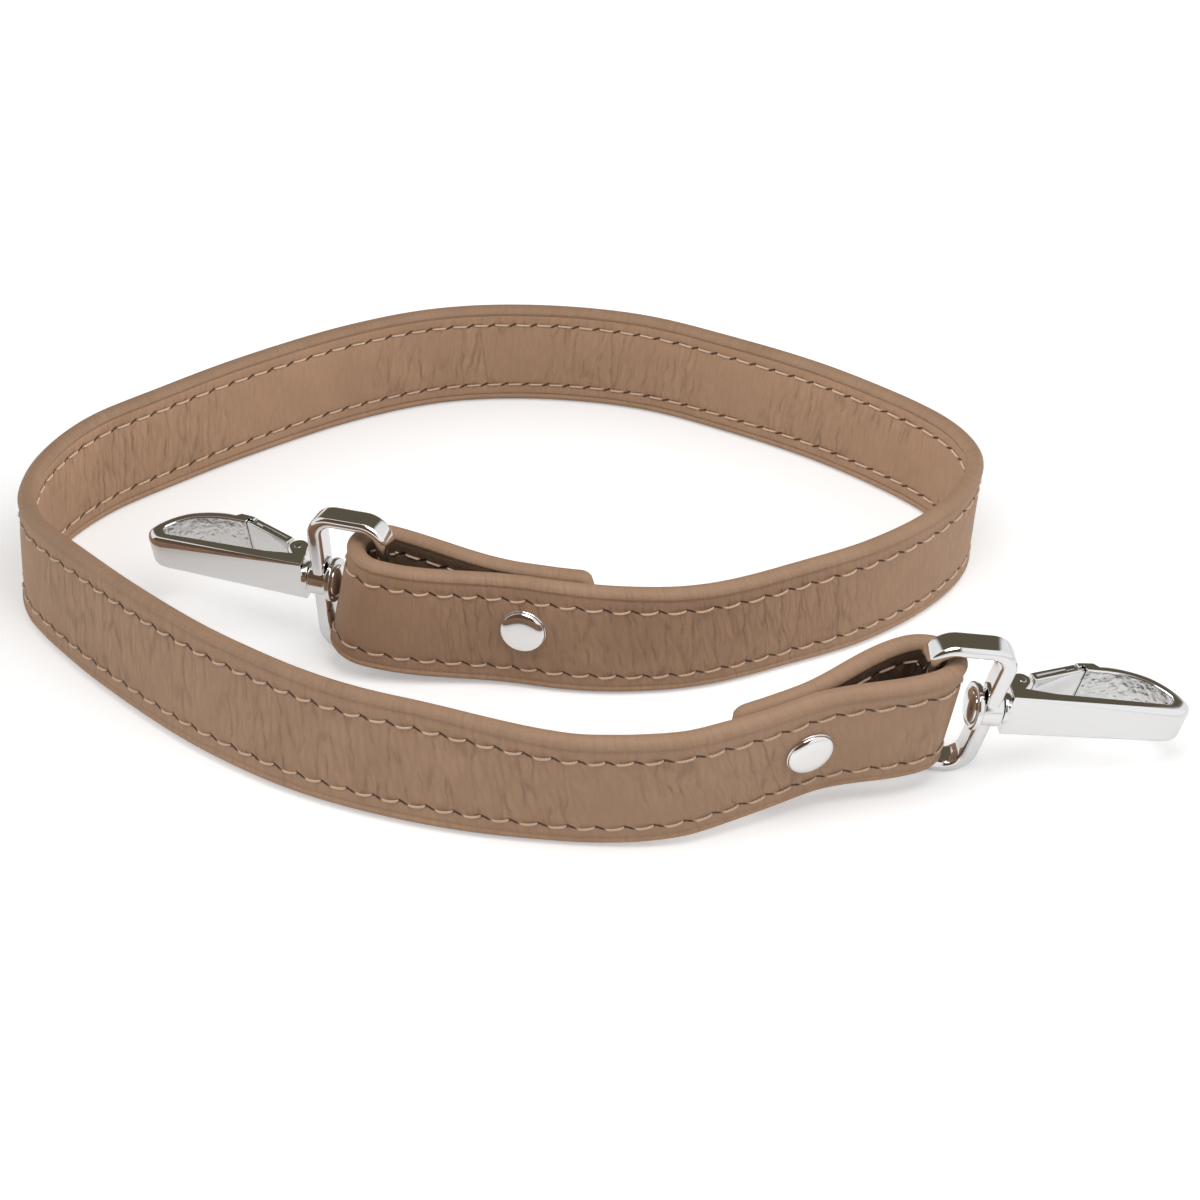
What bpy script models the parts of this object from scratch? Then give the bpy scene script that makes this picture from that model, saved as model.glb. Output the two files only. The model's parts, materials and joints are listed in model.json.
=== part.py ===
"""Detachable bag strap, lying on its edge in a loose loop, with a swivel snap hook at each end.

The strap is a flat leather strip that stands on its long edge.  Each end passes round the bar of a
ring, is folded back on the inner side of the loop and is held by one rivet.  A push-gate hook turns
on a swivel pin in each ring.  Lengths are in metres, +Z is up, and the origin is the middle of the
underside of the whole object's box.
"""
import bmesh
import bpy
from math import atan2, ceil, copysign, cos, hypot, pi, radians, sin, sqrt, tan
from mathutils import Matrix, Vector

MM = 0.001
UP = Vector((0, 0, 1))
ENDS = ("left", "right")

# Strap
STRAP_WIDTH = 20.0 * MM
STRAP_THICKNESS = 3.2 * MM
PANEL_THICKNESS = 2.2 * MM
LEATHER_WALL = 0.6 * MM
PLY_GAP = 0.3 * MM
EDGE_TURN = 2.4 * MM
BEAD_WIDTH = 2.8 * MM
CORE_INSET = 1.7 * MM
TAIL_LENGTH = (11.0 * MM, 9.2 * MM)
TAIL_CORNER = 2.2 * MM
SEAM_INSET = 3.6 * MM
THREAD_WIDTH = 0.6 * MM
THREAD_HEIGHT = 0.3 * MM
THREAD_GAP = 0.2 * MM
STATION_STEP = 6.2 * MM
FOLD_STEP = 3.9 * MM
SPLINE_SAMPLES = 24
CORNER_SIDES = 3
FOLD_SIDES = 8
EDGE_SIDES = 3

# Lie of the strap: the loop's spread on the floor and the centre of its lower edge from rivet to rivet
LOOP_WIDTH = 160.0 * MM
LOOP_DEPTH = 128.0 * MM
ROUTE_SHARES = (
    (0.530, 0.286), (0.593, 0.273), (0.663, 0.275), (0.722, 0.291), (0.793, 0.328), (0.868, 0.373),
    (0.940, 0.443), (0.986, 0.520), (0.997, 0.600), (0.963, 0.690), (0.868, 0.806), (0.760, 0.898),
    (0.652, 0.968), (0.528, 0.998), (0.412, 0.987), (0.308, 0.932), (0.208, 0.846), (0.121, 0.756),
    (0.044, 0.660), (0.004, 0.548), (0.015, 0.438), (0.070, 0.345), (0.152, 0.244), (0.242, 0.152),
    (0.341, 0.079), (0.460, 0.027), (0.577, 0.003), (0.668, 0.001), (0.735, 0.028), (0.788, 0.055),
)
LEAN_DEGREES = (1.5, -5, -3, -1, 0, 0, -1, -1, -1, 1, 7, 13, 13, 9, -4, -9)

# Folded ends: left, then right
FOLD_LENGTH = (32.0 * MM, 23.5 * MM)
FOLD_OPENING = (13.2 * MM, 12.4 * MM)
FOLD_DROP = (0.0 * MM, 1.5 * MM)
END_LIFT = (3.95 * MM, 4.0 * MM)
END_RAKE_DEGREES = (-14.0, 3.0)
LIFT_REACH = (40.0 * MM, 60.0 * MM)

# Rivets
CAP_DIAMETER = 7.5 * MM
CAP_RIM = 0.35 * MM
CAP_DOME = 0.95 * MM
STUD_DIAMETER = 7.0 * MM
STUD_DOME = 0.6 * MM
SOCKET_DIAMETER = 3.2 * MM
POST_DIAMETER = 1.5 * MM
SEAT_GAP = 0.3 * MM
RIVET_RISE = (1.0 * MM, 0.2 * MM)
RIVET_SIDES = 20
DOME_STEPS = 3

# Rings: left, then right where two values are given
RING_PLAY = 2.6 * MM
RING_BAR = 1.9 * MM
RING_HUB_BAR = 2.4 * MM
HUB_DIAMETER = 5.6 * MM
HUB_REACH = 0.6 * MM
RING_WINDOW = 9.2 * MM
RING_DEPTH = 4.1 * MM
RING_CORNER = 4.2 * MM
RING_BEVEL = 0.7 * MM
RING_REACH = (8.4 * MM, 6.1 * MM)
RING_SIDE = (0.4 * MM, 0.1 * MM)
RING_RISE = (0.85 * MM, 0.5 * MM)
RING_MEETING = 3.75 * MM
RING_YAW_DEGREES = (-7.2, -18.0)
RING_DROOP_DEGREES = (0.5, 9.4)
RING_LEAN_DEGREES = (-2.0, -10.0)
RING_CORNER_SIDES = 4

# Swivel pins
PIN_DIAMETER = 1.9 * MM
PIN_COLLAR = 7.2 * MM
PIN_COLLAR_THICKNESS = 0.9 * MM
PIN_DOME = 5.2 * MM
PIN_DOME_HEIGHT = 1.0 * MM
PIN_DEPTH = 0.6 * MM
PIN_SIDES = 20

# Hooks, drawn in plan from the middle of the base; depths are counted from the flat front face
HOOK_LEAN_DEGREES = (-9.0, -7.0)
BOSS_DIAMETER = 4.6 * MM
BOSS_LENGTH = 0.6 * MM
BOSS_ROOT = 0.2 * MM
HOOK_LENGTH = 28.3 * MM
HOOK_DEPTH = 9.5 * MM
HOOK_WIDTH = 7.6 * MM
HOOK_TIP_WIDTH = 6.6 * MM
HOOK_WALL = 2.0 * MM
HOOK_FACE_SETBACK = 1.8 * MM
HOOK_BEVEL = 0.6 * MM
HOOK_BASE_DEPTH = 2.5 * MM
SHOULDER_REACH = 4.8 * MM
HOOK_TIP_SHARES = (
    (0.887, 0.000), (0.940, 0.032), (0.977, 0.116), (0.998, 0.253), (0.978, 0.421), (0.936, 0.589),
    (0.887, 0.726), (0.827, 0.842), (0.752, 0.926), (0.662, 0.984), (0.571, 1.000), (0.455, 0.970),
)
HOOK_EYE_SHARES = (
    (0.579, 0.792), (0.654, 0.774), (0.726, 0.726), (0.789, 0.653), (0.842, 0.547), (0.880, 0.442),
    (0.902, 0.347), (0.898, 0.263),
)
EYE_FLOOR_SHARE = 0.872
GATE_END_SHARES = (0.425, 0.817)

# Gates
GATE_HINGE_X = 2.2 * MM
GATE_HINGE_DEPTH = 4.1 * MM
GATE_OUTSIDE = 1.3 * MM
GATE_INSIDE = 0.35 * MM
GATE_LIP = 0.65 * MM
GATE_LAP = 1.0 * MM
GATE_START = 2.3 * MM
GATE_BEVEL = 0.25 * MM
GATE_SIDE_INSET = 0.3 * MM
EAR_RADIUS = 1.85 * MM
EAR_ARC_DEGREES = (-55.0, 172.0)
EAR_SIDES = 9
SLOT_ARC_DEGREES = (180.0, 300.0)
ARM_ARC_DEGREES = (60.0, 300.0)
HINGE_SIDES = 16
KNUCKLE_RADIUS = 1.2 * MM
KNUCKLE_WIDTH = 2.3 * MM
FORK_SLOT = 5.0 * MM
GATE_PIN_DIAMETER = 1.0 * MM
SPRING_WIRE = 0.4 * MM
SPRING_PITCH = 0.7 * MM
SPRING_TURNS = 2
SPRING_LEG = 3.0 * MM
SPRING_SIDES = 10
CUT_OVERRUN = 1.0 * MM

EDGE_RADIUS = STRAP_THICKNESS / 2
LAYER_SPACING = STRAP_THICKNESS + PLY_GAP
PANEL_FACE = PANEL_THICKNESS / 2
GATE_RUN = GATE_END_SHARES[0] * HOOK_LENGTH - GATE_HINGE_X
GATE_CLIMB = GATE_END_SHARES[1] * HOOK_DEPTH - GATE_HINGE_DEPTH
GATE_LENGTH = hypot(GATE_RUN, GATE_CLIMB)
GATE_RISE = atan2(GATE_CLIMB, GATE_RUN)

FINISHES = {
    "leather": ((0.30, 0.185, 0.125), 0.55, 0.0),
    "lining": ((0.25, 0.155, 0.105), 0.65, 0.0),
    "core": ((0.55, 0.50, 0.42), 0.9, 0.0),
    "thread": ((0.58, 0.40, 0.28), 0.7, 0.0),
    "chrome": ((0.80, 0.80, 0.82), 0.08, 1.0),
    "steel": ((0.50, 0.50, 0.52), 0.25, 1.0),
}


# Objects and materials

def material(finish):
    found = bpy.data.materials.get(finish)
    if found:
        return found
    color, roughness, metallic = FINISHES[finish]
    made = bpy.data.materials.new(finish)
    made.use_nodes = True
    shader = made.node_tree.nodes["Principled BSDF"]
    shader.inputs["Base Color"].default_value = (*color, 1.0)
    shader.inputs["Roughness"].default_value = roughness
    shader.inputs["Metallic"].default_value = metallic
    return made


def place(made, parent, placement):
    bpy.context.scene.collection.objects.link(made)
    made.parent = parent
    made.matrix_local = placement
    return made


def add_empty(name, parent, placement=Matrix()):
    return place(bpy.data.objects.new(name, None), parent, placement)


def closed_mesh(name, solid):
    """Mesh of a closed skin, given as points and faces, with its faces pointing out."""
    points, faces = solid
    mesh = bpy.data.meshes.new(name)
    shape = bmesh.new()
    corners = [shape.verts.new(point) for point in points]
    for face in faces:
        shape.faces.new([corners[i] for i in face])
    bmesh.ops.recalc_face_normals(shape, faces=shape.faces)
    shape.to_mesh(mesh)
    shape.free()
    return mesh


def add_piece(name, solid, finish, parent, placement=Matrix()):
    mesh = closed_mesh(name, solid)
    mesh.materials.append(material(finish))
    mesh.shade_smooth()
    mesh.set_sharp_from_angle(angle=radians(35))
    return place(bpy.data.objects.new(name, mesh), parent, placement)


def combine(target, operation, name, solid, placement=Matrix()):
    """Joins a hidden tool solid to the target, or cuts it away, in the target parent's coordinates."""
    tool = place(bpy.data.objects.new(name, closed_mesh(name, solid)), target.parent, placement)
    tool.hide_render = True
    tool.display_type = "WIRE"
    step = target.modifiers.new(name, "BOOLEAN")
    step.operation = operation
    step.object = tool
    step.solver = "EXACT"


def frame(origin, x_axis, y_axis):
    made = Matrix((x_axis, y_axis, x_axis.cross(y_axis))).transposed().to_4x4()
    made.translation = origin
    return made


# Curves and skins

def spline_point(points, position):
    """Point on a smooth curve through the points; the position counts in points."""
    last = len(points) - 1
    index = min(int(position), last - 1)
    t = position - index
    a = points[index]
    b = points[index + 1]
    before = points[index - 1] if index > 0 else a * 2 - b
    after = points[index + 2] if index + 2 <= last else b * 2 - a
    slope_a = (b - before) / 2
    slope_b = (after - a) / 2
    return (a * (2 * t ** 3 - 3 * t ** 2 + 1) + slope_a * (t ** 3 - 2 * t ** 2 + t)
            + b * (3 * t ** 2 - 2 * t ** 3) + slope_b * (t ** 3 - t ** 2))


def distances_along(points):
    run = [0.0]
    for a, b in zip(points, points[1:]):
        run.append(run[-1] + (b - a).length)
    return run


def even_points(points, step):
    """Points along the smooth curve, about one step apart and evenly spaced."""
    count = (len(points) - 1) * SPLINE_SAMPLES
    dense = [spline_point(points, i / SPLINE_SAMPLES) for i in range(count + 1)]
    run = distances_along(dense)
    parts = ceil(run[-1] / step)
    made = []
    index = 0
    for i in range(parts + 1):
        target = run[-1] * i / parts
        while index < len(run) - 2 and run[index + 1] < target:
            index += 1
        share = (target - run[index]) / (run[index + 1] - run[index])
        made.append(dense[index].lerp(dense[index + 1], share))
    return made


def skin(rings):
    """Closed skin over rings of equal point counts, with flat ends."""
    size = len(rings[0])
    points = [point for ring in rings for point in ring]
    faces = [tuple(range(size)), tuple(range(len(points) - size, len(points)))]
    for level in range(len(rings) - 1):
        low = level * size
        for i in range(size):
            j = (i + 1) % size
            faces.append((low + i, low + j, low + size + j, low + size + i))
    return points, faces


def inset_outline(outline, distance):
    """A counter-clockwise outline moved inward by the distance."""
    made = []
    for i, corner in enumerate(outline):
        before = (corner - outline[i - 1]).normalized()
        after = (outline[(i + 1) % len(outline)] - corner).normalized()
        left = Vector((-after.y, after.x))
        middle = (Vector((-before.y, before.x)) + left).normalized()
        made.append(corner + middle * distance / max(middle.dot(left), 0.5))
    return made


def plate(outline, half_width, bevel):
    """Plate over an outline with bevelled edges; half_width gives its half width at each x."""
    inner = inset_outline(outline, bevel)
    rings = []
    for side in (-1, 1):
        face = [Vector((spot.x, spot.y, side * half_width(spot.x))) for spot in inner]
        edge = [Vector((spot.x, spot.y, side * (half_width(spot.x) - bevel))) for spot in outline]
        rings += [face, edge] if side < 0 else [edge, face]
    return skin(rings)


def prism(outline, low, high):
    return skin([[Vector((spot.x, spot.y, z)) for spot in outline] for z in (low, high)])


def arc(radius, degrees, sides):
    """Points on an arc about the origin, from the first angle to the second."""
    start, stop = (radians(angle) for angle in degrees)
    turns = [start + (stop - start) * i / sides for i in range(sides + 1)]
    return [Vector((radius * cos(angle), radius * sin(angle))) for angle in turns]


def turned(profile, sides):
    """Solid turned about the X axis from (x, radius) pairs that start and end on the axis."""
    points = []
    rings = []
    for x, radius in profile:
        first = len(points)
        count = sides if radius > 0 else 1
        points += [Vector((x, radius * cos(2 * pi * i / sides), radius * sin(2 * pi * i / sides)))
                   for i in range(count)]
        rings.append([first + i % count for i in range(sides)])
    faces = []
    for a, b in zip(rings, rings[1:]):
        for i in range(sides):
            j = (i + 1) % sides
            face = tuple(dict.fromkeys((a[i], b[i], b[j], a[j])))
            if len(face) > 2:
                faces.append(face)
    return points, faces


def rod(start, end, diameter, sides):
    return turned([(start, 0), (start, diameter / 2), (end, diameter / 2), (end, 0)], sides)


def dome(edge_x, height, radius):
    """Profile points of a shallow dome from its tip, at edge_x + height, to its edge."""
    turns = [pi / 2 * i / DOME_STEPS for i in range(DOME_STEPS + 1)]
    return [(edge_x + height * cos(angle), radius * sin(angle)) for angle in turns]


# Lie of the strap

class Station:
    """One cross-section of the strap, with its foot in the middle of the rounded lower edge.

    The margin is the distance to the strap's cut end, counted on a tail.
    """

    def __init__(self, foot, width, margin=TAIL_CORNER):
        self.foot = foot
        self.width = width
        self.margin = margin
        self.middle = foot + width * (STRAP_WIDTH / 2 - EDGE_RADIUS)
        self.inner = None
        over = max(TAIL_CORNER - margin, 0.0)
        self.narrowing = TAIL_CORNER - sqrt(TAIL_CORNER ** 2 - over ** 2)

    def at(self, depth, height):
        """Point at a depth towards the inner side and a height over the strap's middle."""
        height -= copysign(self.narrowing, height)
        return self.middle + self.inner * depth + self.width * height


def lean_at(share):
    """Sideways lean at a share of the run between the rivets, positive towards the inside."""
    position = share * (len(LEAN_DEGREES) - 1)
    index = min(int(position), len(LEAN_DEGREES) - 2)
    ease = (1 - cos(pi * (position - index))) / 2
    return radians(LEAN_DEGREES[index] * (1 - ease) + LEAN_DEGREES[index + 1] * ease)


def lift_at(end, distance):
    """Height of the lower edge over the floor, and its rise per length, from the fold's end inward."""
    reach = LIFT_REACH[end]
    if distance >= reach:
        return 0.0, 0.0
    t = distance / reach
    rise = tan(radians(END_RAKE_DEGREES[end])) * reach
    lift = END_LIFT[end] * (2 * t ** 3 - 3 * t ** 2 + 1) + rise * (t ** 3 - 2 * t ** 2 + t)
    slope = (END_LIFT[end] * (6 * t ** 2 - 6 * t) + rise * (3 * t ** 2 - 4 * t + 1)) / reach
    return lift, slope


def main_run():
    """Stations from the left rivet round the loop to the right one, with headings and distances."""
    plan = even_points([Vector((x * LOOP_WIDTH, y * LOOP_DEPTH, 0)) for x, y in ROUTE_SHARES],
                       STATION_STEP)
    run = distances_along(plan)
    made = []
    for i, spot in enumerate(plan):
        travel = (plan[min(i + 1, len(plan) - 1)] - plan[max(i - 1, 0)]).normalized()
        left_lift, left_slope = lift_at(0, FOLD_LENGTH[0] + run[i])
        right_lift, right_slope = lift_at(1, FOLD_LENGTH[1] + run[-1] - run[i])
        lean = UP.cross(travel) * tan(lean_at(run[i] / run[-1]))
        width = (UP + lean - travel * (left_slope - right_slope)).normalized()
        foot = spot + UP * (EDGE_RADIUS + left_lift + right_lift)
        made.append((Station(foot, width), travel, run[i]))
    return made


class Fold:
    """The folded end of the strap beyond one rivet; 'along' counts from the rivet to the end."""

    def __init__(self, end, run):
        self.end = end
        self.length = FOLD_LENGTH[end]
        self.bend = (FOLD_OPENING[end] - STRAP_THICKNESS) / 2
        self.straight = self.length - EDGE_RADIUS - self.bend
        self.run = run if end == 0 else run[::-1]
        self.rivet, travel, self.start = self.run[0]
        self.out = -travel if end == 0 else travel
        self.inward = UP.cross(travel)
        self.lean = lean_at(end)
        self.side = (self.inward - UP * tan(self.lean)).normalized()

    def station(self, along, across, turn=0.5):
        """Station in the fold; across counts from the middle between the layers, inward.

        The turn is the share of the way from the outer layer round to the tail's, which lies lower.
        """
        lift, slope = lift_at(self.end, self.length - along)
        base = self.rivet.foot + UP * (lift - lift_at(self.end, self.length)[0])
        foot = base + self.out * along + self.side * (across + LAYER_SPACING / 2)
        foot -= UP * FOLD_DROP[self.end] * turn
        width = (UP + self.inward * tan(self.lean) + self.out * slope).normalized()
        return Station(foot, width)

    def layer(self, side):
        """Stations from the rivet to the round end, on the outer side (-1) or the tail's side (1)."""
        count = ceil(self.straight / FOLD_STEP)
        made = []
        for i in range(1, count + 1):
            ease = (1 - cos(pi * i / count)) / 2
            opening = LAYER_SPACING / 2 + (self.bend - LAYER_SPACING / 2) * ease
            made.append(self.station(self.straight * i / count, side * opening, (1 + side) / 2))
        return made

    def round_end(self):
        """Stations round the end, from the outer layer to the tail's."""
        made = []
        for i in range(1, FOLD_SIDES):
            angle = pi * i / FOLD_SIDES
            along = self.straight + self.bend * sin(angle)
            made.append(self.station(along, -self.bend * cos(angle), (1 - cos(angle)) / 2))
        return made

    def tail(self):
        """Stations from the rivet to the strap's cut end, one layer inside the main run."""
        straight = TAIL_LENGTH[self.end] - TAIL_CORNER
        count = ceil(straight / FOLD_STEP)
        margins = [TAIL_CORNER + straight * (count - i) / count for i in range(count)]
        margins += [TAIL_CORNER * (1 - sin(pi / 2 * i / CORNER_SIDES)) for i in range(CORNER_SIDES + 1)]
        margins += [LEATHER_WALL, LEATHER_WALL + PLY_GAP]
        return [self.tail_station(margin) for margin in sorted(margins, reverse=True)]

    def tail_station(self, margin):
        distance = TAIL_LENGTH[self.end] - margin
        for (a, travel_a, run_a), (b, travel_b, run_b) in zip(self.run, self.run[1:]):
            if abs(run_b - self.start) >= distance:
                break
        share = (distance - abs(run_a - self.start)) / abs(run_b - run_a)
        width = a.width.lerp(b.width, share).normalized()
        inner = width.cross(travel_a.lerp(travel_b, share)).normalized()
        foot = a.foot.lerp(b.foot, share) + inner * LAYER_SPACING - UP * FOLD_DROP[self.end]
        return Station(foot, width, margin)

    def stations(self):
        return self.layer(-1) + self.round_end() + self.layer(1)[::-1] + self.tail()


def strap_stations(run, folds):
    """All stations in order, from the left cut end to the right one, each facing its inner side."""
    left, right = folds
    stations = left.stations()[::-1] + [station for station, _, _ in run] + right.stations()
    for i, station in enumerate(stations):
        ahead = stations[min(i + 1, len(stations) - 1)].foot
        behind = stations[max(i - 1, 0)].foot
        station.inner = station.width.cross(ahead - behind).normalized()
    return stations


def sweep(stations, section):
    return skin([[station.at(*spot) for spot in section] for station in stations])


# Strap

def leather_skin(stations):
    """C-shaped strip with beads along its edges, whose pocket stops one wall short of both cut ends."""
    lip = STRAP_WIDTH / 2 - EDGE_TURN
    beads = {}
    for end in (-1, 1):
        turns = [pi * i / EDGE_SIDES for i in range(EDGE_SIDES + 1)]
        beads[end] = [(-end * EDGE_RADIUS * cos(angle),
                       end * (STRAP_WIDTH / 2 - EDGE_RADIUS * (1 - sin(angle)))) for angle in turns]
    panel = STRAP_WIDTH / 2 - BEAD_WIDTH
    envelope = [(PANEL_FACE, -lip), *beads[-1], (-PANEL_FACE, -panel), (-PANEL_FACE, panel), *beads[1],
                (PANEL_FACE, lip)]
    depth = PANEL_FACE - LEATHER_WALL
    height = STRAP_WIDTH / 2 - CORE_INSET + PLY_GAP
    pocket = [(depth, lip), (depth, height), (-depth, height), (-depth, -height), (depth, -height),
              (depth, -lip)]
    points = []
    rings = []
    for station in stations:
        first = len(points)
        hollow = station.margin >= LEATHER_WALL
        points += [station.at(*spot) for spot in (envelope + pocket if hollow else envelope)]
        rings.append(list(range(first, len(points))))
    rim = len(envelope)
    faces = [rings[0], rings[-1]]
    for a, b in zip(rings, rings[1:]):
        if len(a) != len(b):
            wall = max(a, b, key=len)
            faces.append([wall[0], *wall[rim - 1:]])
            a = a[:rim]
            b = b[:rim]
        for i in range(len(a)):
            j = (i + 1) % len(a)
            faces.append((a[i], a[j], b[j], b[i]))
    return points, faces


def rectangle(low, high, half_height):
    return [(low, -half_height), (high, -half_height), (high, half_height), (low, half_height)]


def thread_skin(stations, side, row):
    """Stitching along one row, on the outer (-1) or the inner (1) face, up to the rounded tails."""
    base = side * (PANEL_FACE + THREAD_GAP)
    height = row * (STRAP_WIDTH / 2 - SEAM_INSET)
    section = [(base, height - THREAD_WIDTH / 2), (base, height + THREAD_WIDTH / 2),
               (base + side * THREAD_HEIGHT, height)]
    return sweep([station for station in stations if station.margin >= TAIL_CORNER], section)


def rivet_frame(fold):
    """Frame between the two layers at a rivet, with X pointing out of the loop."""
    origin = fold.rivet.middle + fold.side * LAYER_SPACING / 2 + fold.rivet.width * RIVET_RISE[fold.end]
    return frame(origin, -fold.side, fold.side.cross(fold.rivet.width))


def add_strap(assembly, stations, folds):
    backed = [station for station in stations if station.margin >= LEATHER_WALL + PLY_GAP]
    core_face = PANEL_FACE - LEATHER_WALL - PLY_GAP
    core = sweep(backed, rectangle(-core_face, core_face, STRAP_WIDTH / 2 - CORE_INSET))
    lining = sweep(backed, rectangle(PANEL_FACE - LEATHER_WALL, PANEL_FACE,
                                     STRAP_WIDTH / 2 - EDGE_TURN - PLY_GAP))
    plies = [add_piece("strap_outer_leather", leather_skin(stations), "leather", assembly),
             add_piece("strap_core", core, "core", assembly),
             add_piece("strap_lining", lining, "lining", assembly)]
    reach = LAYER_SPACING + CUT_OVERRUN
    hole = rod(-reach, reach, SOCKET_DIAMETER + 2 * SEAT_GAP, RIVET_SIDES)
    for fold in folds:
        for ply in plies:
            combine(ply, "DIFFERENCE", f"{ply.name}_hole_{ENDS[fold.end]}", hole, rivet_frame(fold))
    for side, face in ((-1, "outer"), (1, "inner")):
        for row, edge in ((1, "upper"), (-1, "lower")):
            add_piece(f"thread_{face}_{edge}", thread_skin(stations, side, row), "thread", assembly)


def add_rivet(assembly, fold):
    """Domed cap with a socket on the outer side, and a stud whose post stands in the socket."""
    end = ENDS[fold.end]
    seat = LAYER_SPACING / 2 + PANEL_FACE + SEAT_GAP
    bore = POST_DIAMETER / 2 + SEAT_GAP
    cap = dome(seat + CAP_RIM, CAP_DOME, CAP_DIAMETER / 2)
    cap += [(seat, CAP_DIAMETER / 2), (seat, SOCKET_DIAMETER / 2), (SEAT_GAP - seat, SOCKET_DIAMETER / 2),
            (SEAT_GAP - seat, bore), (seat - SEAT_GAP, bore), (seat - SEAT_GAP, 0)]
    stud = [(seat - 2 * SEAT_GAP, 0), (seat - 2 * SEAT_GAP, POST_DIAMETER / 2), (-seat, POST_DIAMETER / 2),
            (-seat, STUD_DIAMETER / 2)]
    stud += dome(-seat - CAP_RIM, -STUD_DOME, STUD_DIAMETER / 2)[::-1]
    placement = rivet_frame(fold)
    add_piece(f"rivet_cap_{end}", turned(cap, RIVET_SIDES), "chrome", assembly, placement)
    add_piece(f"rivet_stud_{end}", turned(stud, RIVET_SIDES), "chrome", assembly, placement)


# Rings and swivel pins

def ring_frame(fold):
    """Frame on the bar's axis: X is the hub's axis, Y points to the loop's inside, Z runs along the bar."""
    yaw = Matrix.Rotation(radians(RING_YAW_DEGREES[fold.end]), 3, "Z")
    droop = radians(RING_DROOP_DEGREES[fold.end])
    lean = radians(RING_LEAN_DEGREES[fold.end])
    ahead = yaw @ fold.out
    hub = ahead * cos(droop) - UP * sin(droop)
    top = UP * cos(droop) + ahead * sin(droop)
    inward = yaw @ fold.inward * cos(lean) - top * sin(lean)
    along = fold.length - RING_REACH[fold.end]
    side = RING_SIDE[fold.end]
    bar = fold.station(along, side)
    level = fold.station(along + RING_MEETING * hub.dot(fold.out), side)
    rise = (level.middle - bar.middle - hub * RING_MEETING).dot(bar.width)
    return frame(bar.middle + bar.width * (rise + RING_RISE[fold.end]), hub, inward)


def rounded_rectangle(low, high, half_height, radius):
    """Counter-clockwise outline between two x values, with the same number of points at each corner."""
    points = []
    corners = ((high, -1, -90), (high, 1, 0), (low, 1, 90), (low, -1, 180))
    for x, side, start in corners:
        inset = radius if x == low else -radius
        centre = Vector((x + inset, side * (half_height - radius)))
        points += [centre + spot for spot in arc(radius, (start, start + 90), RING_CORNER_SIDES)]
    return points


def ring_skin():
    """Oblong frame with bevelled edges, seen from the bar's axis, thicker at the hub's side."""
    start = -RING_BAR / 2
    end = RING_BAR / 2 + RING_WINDOW + RING_HUB_BAR
    window = (STRAP_WIDTH + RING_PLAY) / 2
    half_depth = RING_DEPTH / 2
    levels = []
    for bevel, depth in ((0, half_depth - RING_BEVEL), (RING_BEVEL, half_depth)):
        outer = rounded_rectangle(start + bevel, end - bevel, window + RING_BAR - bevel, RING_CORNER - bevel)
        inner = rounded_rectangle(RING_BAR / 2 - bevel, RING_BAR / 2 + RING_WINDOW + bevel,
                                  window + bevel, RING_CORNER - RING_BAR + bevel)
        levels.append((outer, inner, depth))
    (outer, inner, edge), (outer_face, inner_face, face) = levels
    sequence = ((outer, -edge), (outer, edge), (outer_face, face), (inner_face, face),
                (inner, edge), (inner, -edge), (inner_face, -face), (outer_face, -face))
    size = len(outer)
    points = [Vector((spot.x, depth, spot.y)) for outline, depth in sequence for spot in outline]
    faces = []
    for level in range(len(sequence)):
        low = level * size
        high = (level + 1) % len(sequence) * size
        for i in range(size):
            j = (i + 1) % size
            faces.append((low + i, low + j, high + j, high + i))
    return points, faces


def add_ring(assembly, fold):
    """Ring on an empty at its bar; returns the empty."""
    end = ENDS[fold.end]
    swing = add_empty(f"ring_swing_{end}", assembly, ring_frame(fold))
    ring = add_piece(f"swivel_ring_{end}", ring_skin(), "chrome", swing)
    start = RING_BAR / 2 + RING_WINDOW
    hole = rod(start - CUT_OVERRUN, start + RING_HUB_BAR + HUB_REACH + CUT_OVERRUN,
               PIN_DIAMETER + 2 * SEAT_GAP, HINGE_SIDES)
    hub = rod(start, start + RING_HUB_BAR + HUB_REACH, HUB_DIAMETER, PIN_SIDES)
    combine(ring, "UNION", f"swivel_ring_{end}_hub", hub)
    combine(ring, "DIFFERENCE", f"swivel_ring_{end}_hole", hole)
    return swing


def pin_solid():
    """Swivel pin from the base of its hook: domed head and collar in the ring, shank in the hook."""
    head = -(BOSS_LENGTH + HUB_REACH + RING_HUB_BAR + 2 * SEAT_GAP)
    collar = head - PIN_COLLAR_THICKNESS
    profile = dome(collar, -PIN_DOME_HEIGHT, PIN_DOME / 2)
    profile += [(collar, PIN_COLLAR / 2), (head, PIN_COLLAR / 2), (head, PIN_DIAMETER / 2),
                (PIN_DEPTH, PIN_DIAMETER / 2), (PIN_DEPTH, 0)]
    return turned(profile, PIN_SIDES)


# Hooks and gates

HINGE = Vector((GATE_HINGE_X, GATE_HINGE_DEPTH - HOOK_FACE_SETBACK, 0))
GATE_FRAME = Matrix.Translation(HINGE) @ Matrix.Rotation(GATE_RISE, 4, "Z")


def hook_half_width(x):
    return (HOOK_WIDTH + (HOOK_TIP_WIDTH - HOOK_WIDTH) * x / HOOK_LENGTH) / 2


def gate_half_width(reach):
    x = GATE_HINGE_X + reach * cos(GATE_RISE)
    return hook_half_width(x) - GATE_SIDE_INSET


def from_front(x, depth):
    """Plan point at a depth behind the flat front face."""
    return Vector((x, depth - HOOK_FACE_SETBACK))


def by_gate(reach, outside):
    """Plan point at a distance from the hinge along the shut gate, and one to its outer side."""
    return (GATE_FRAME @ Vector((reach, outside, 0))).xy


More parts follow.
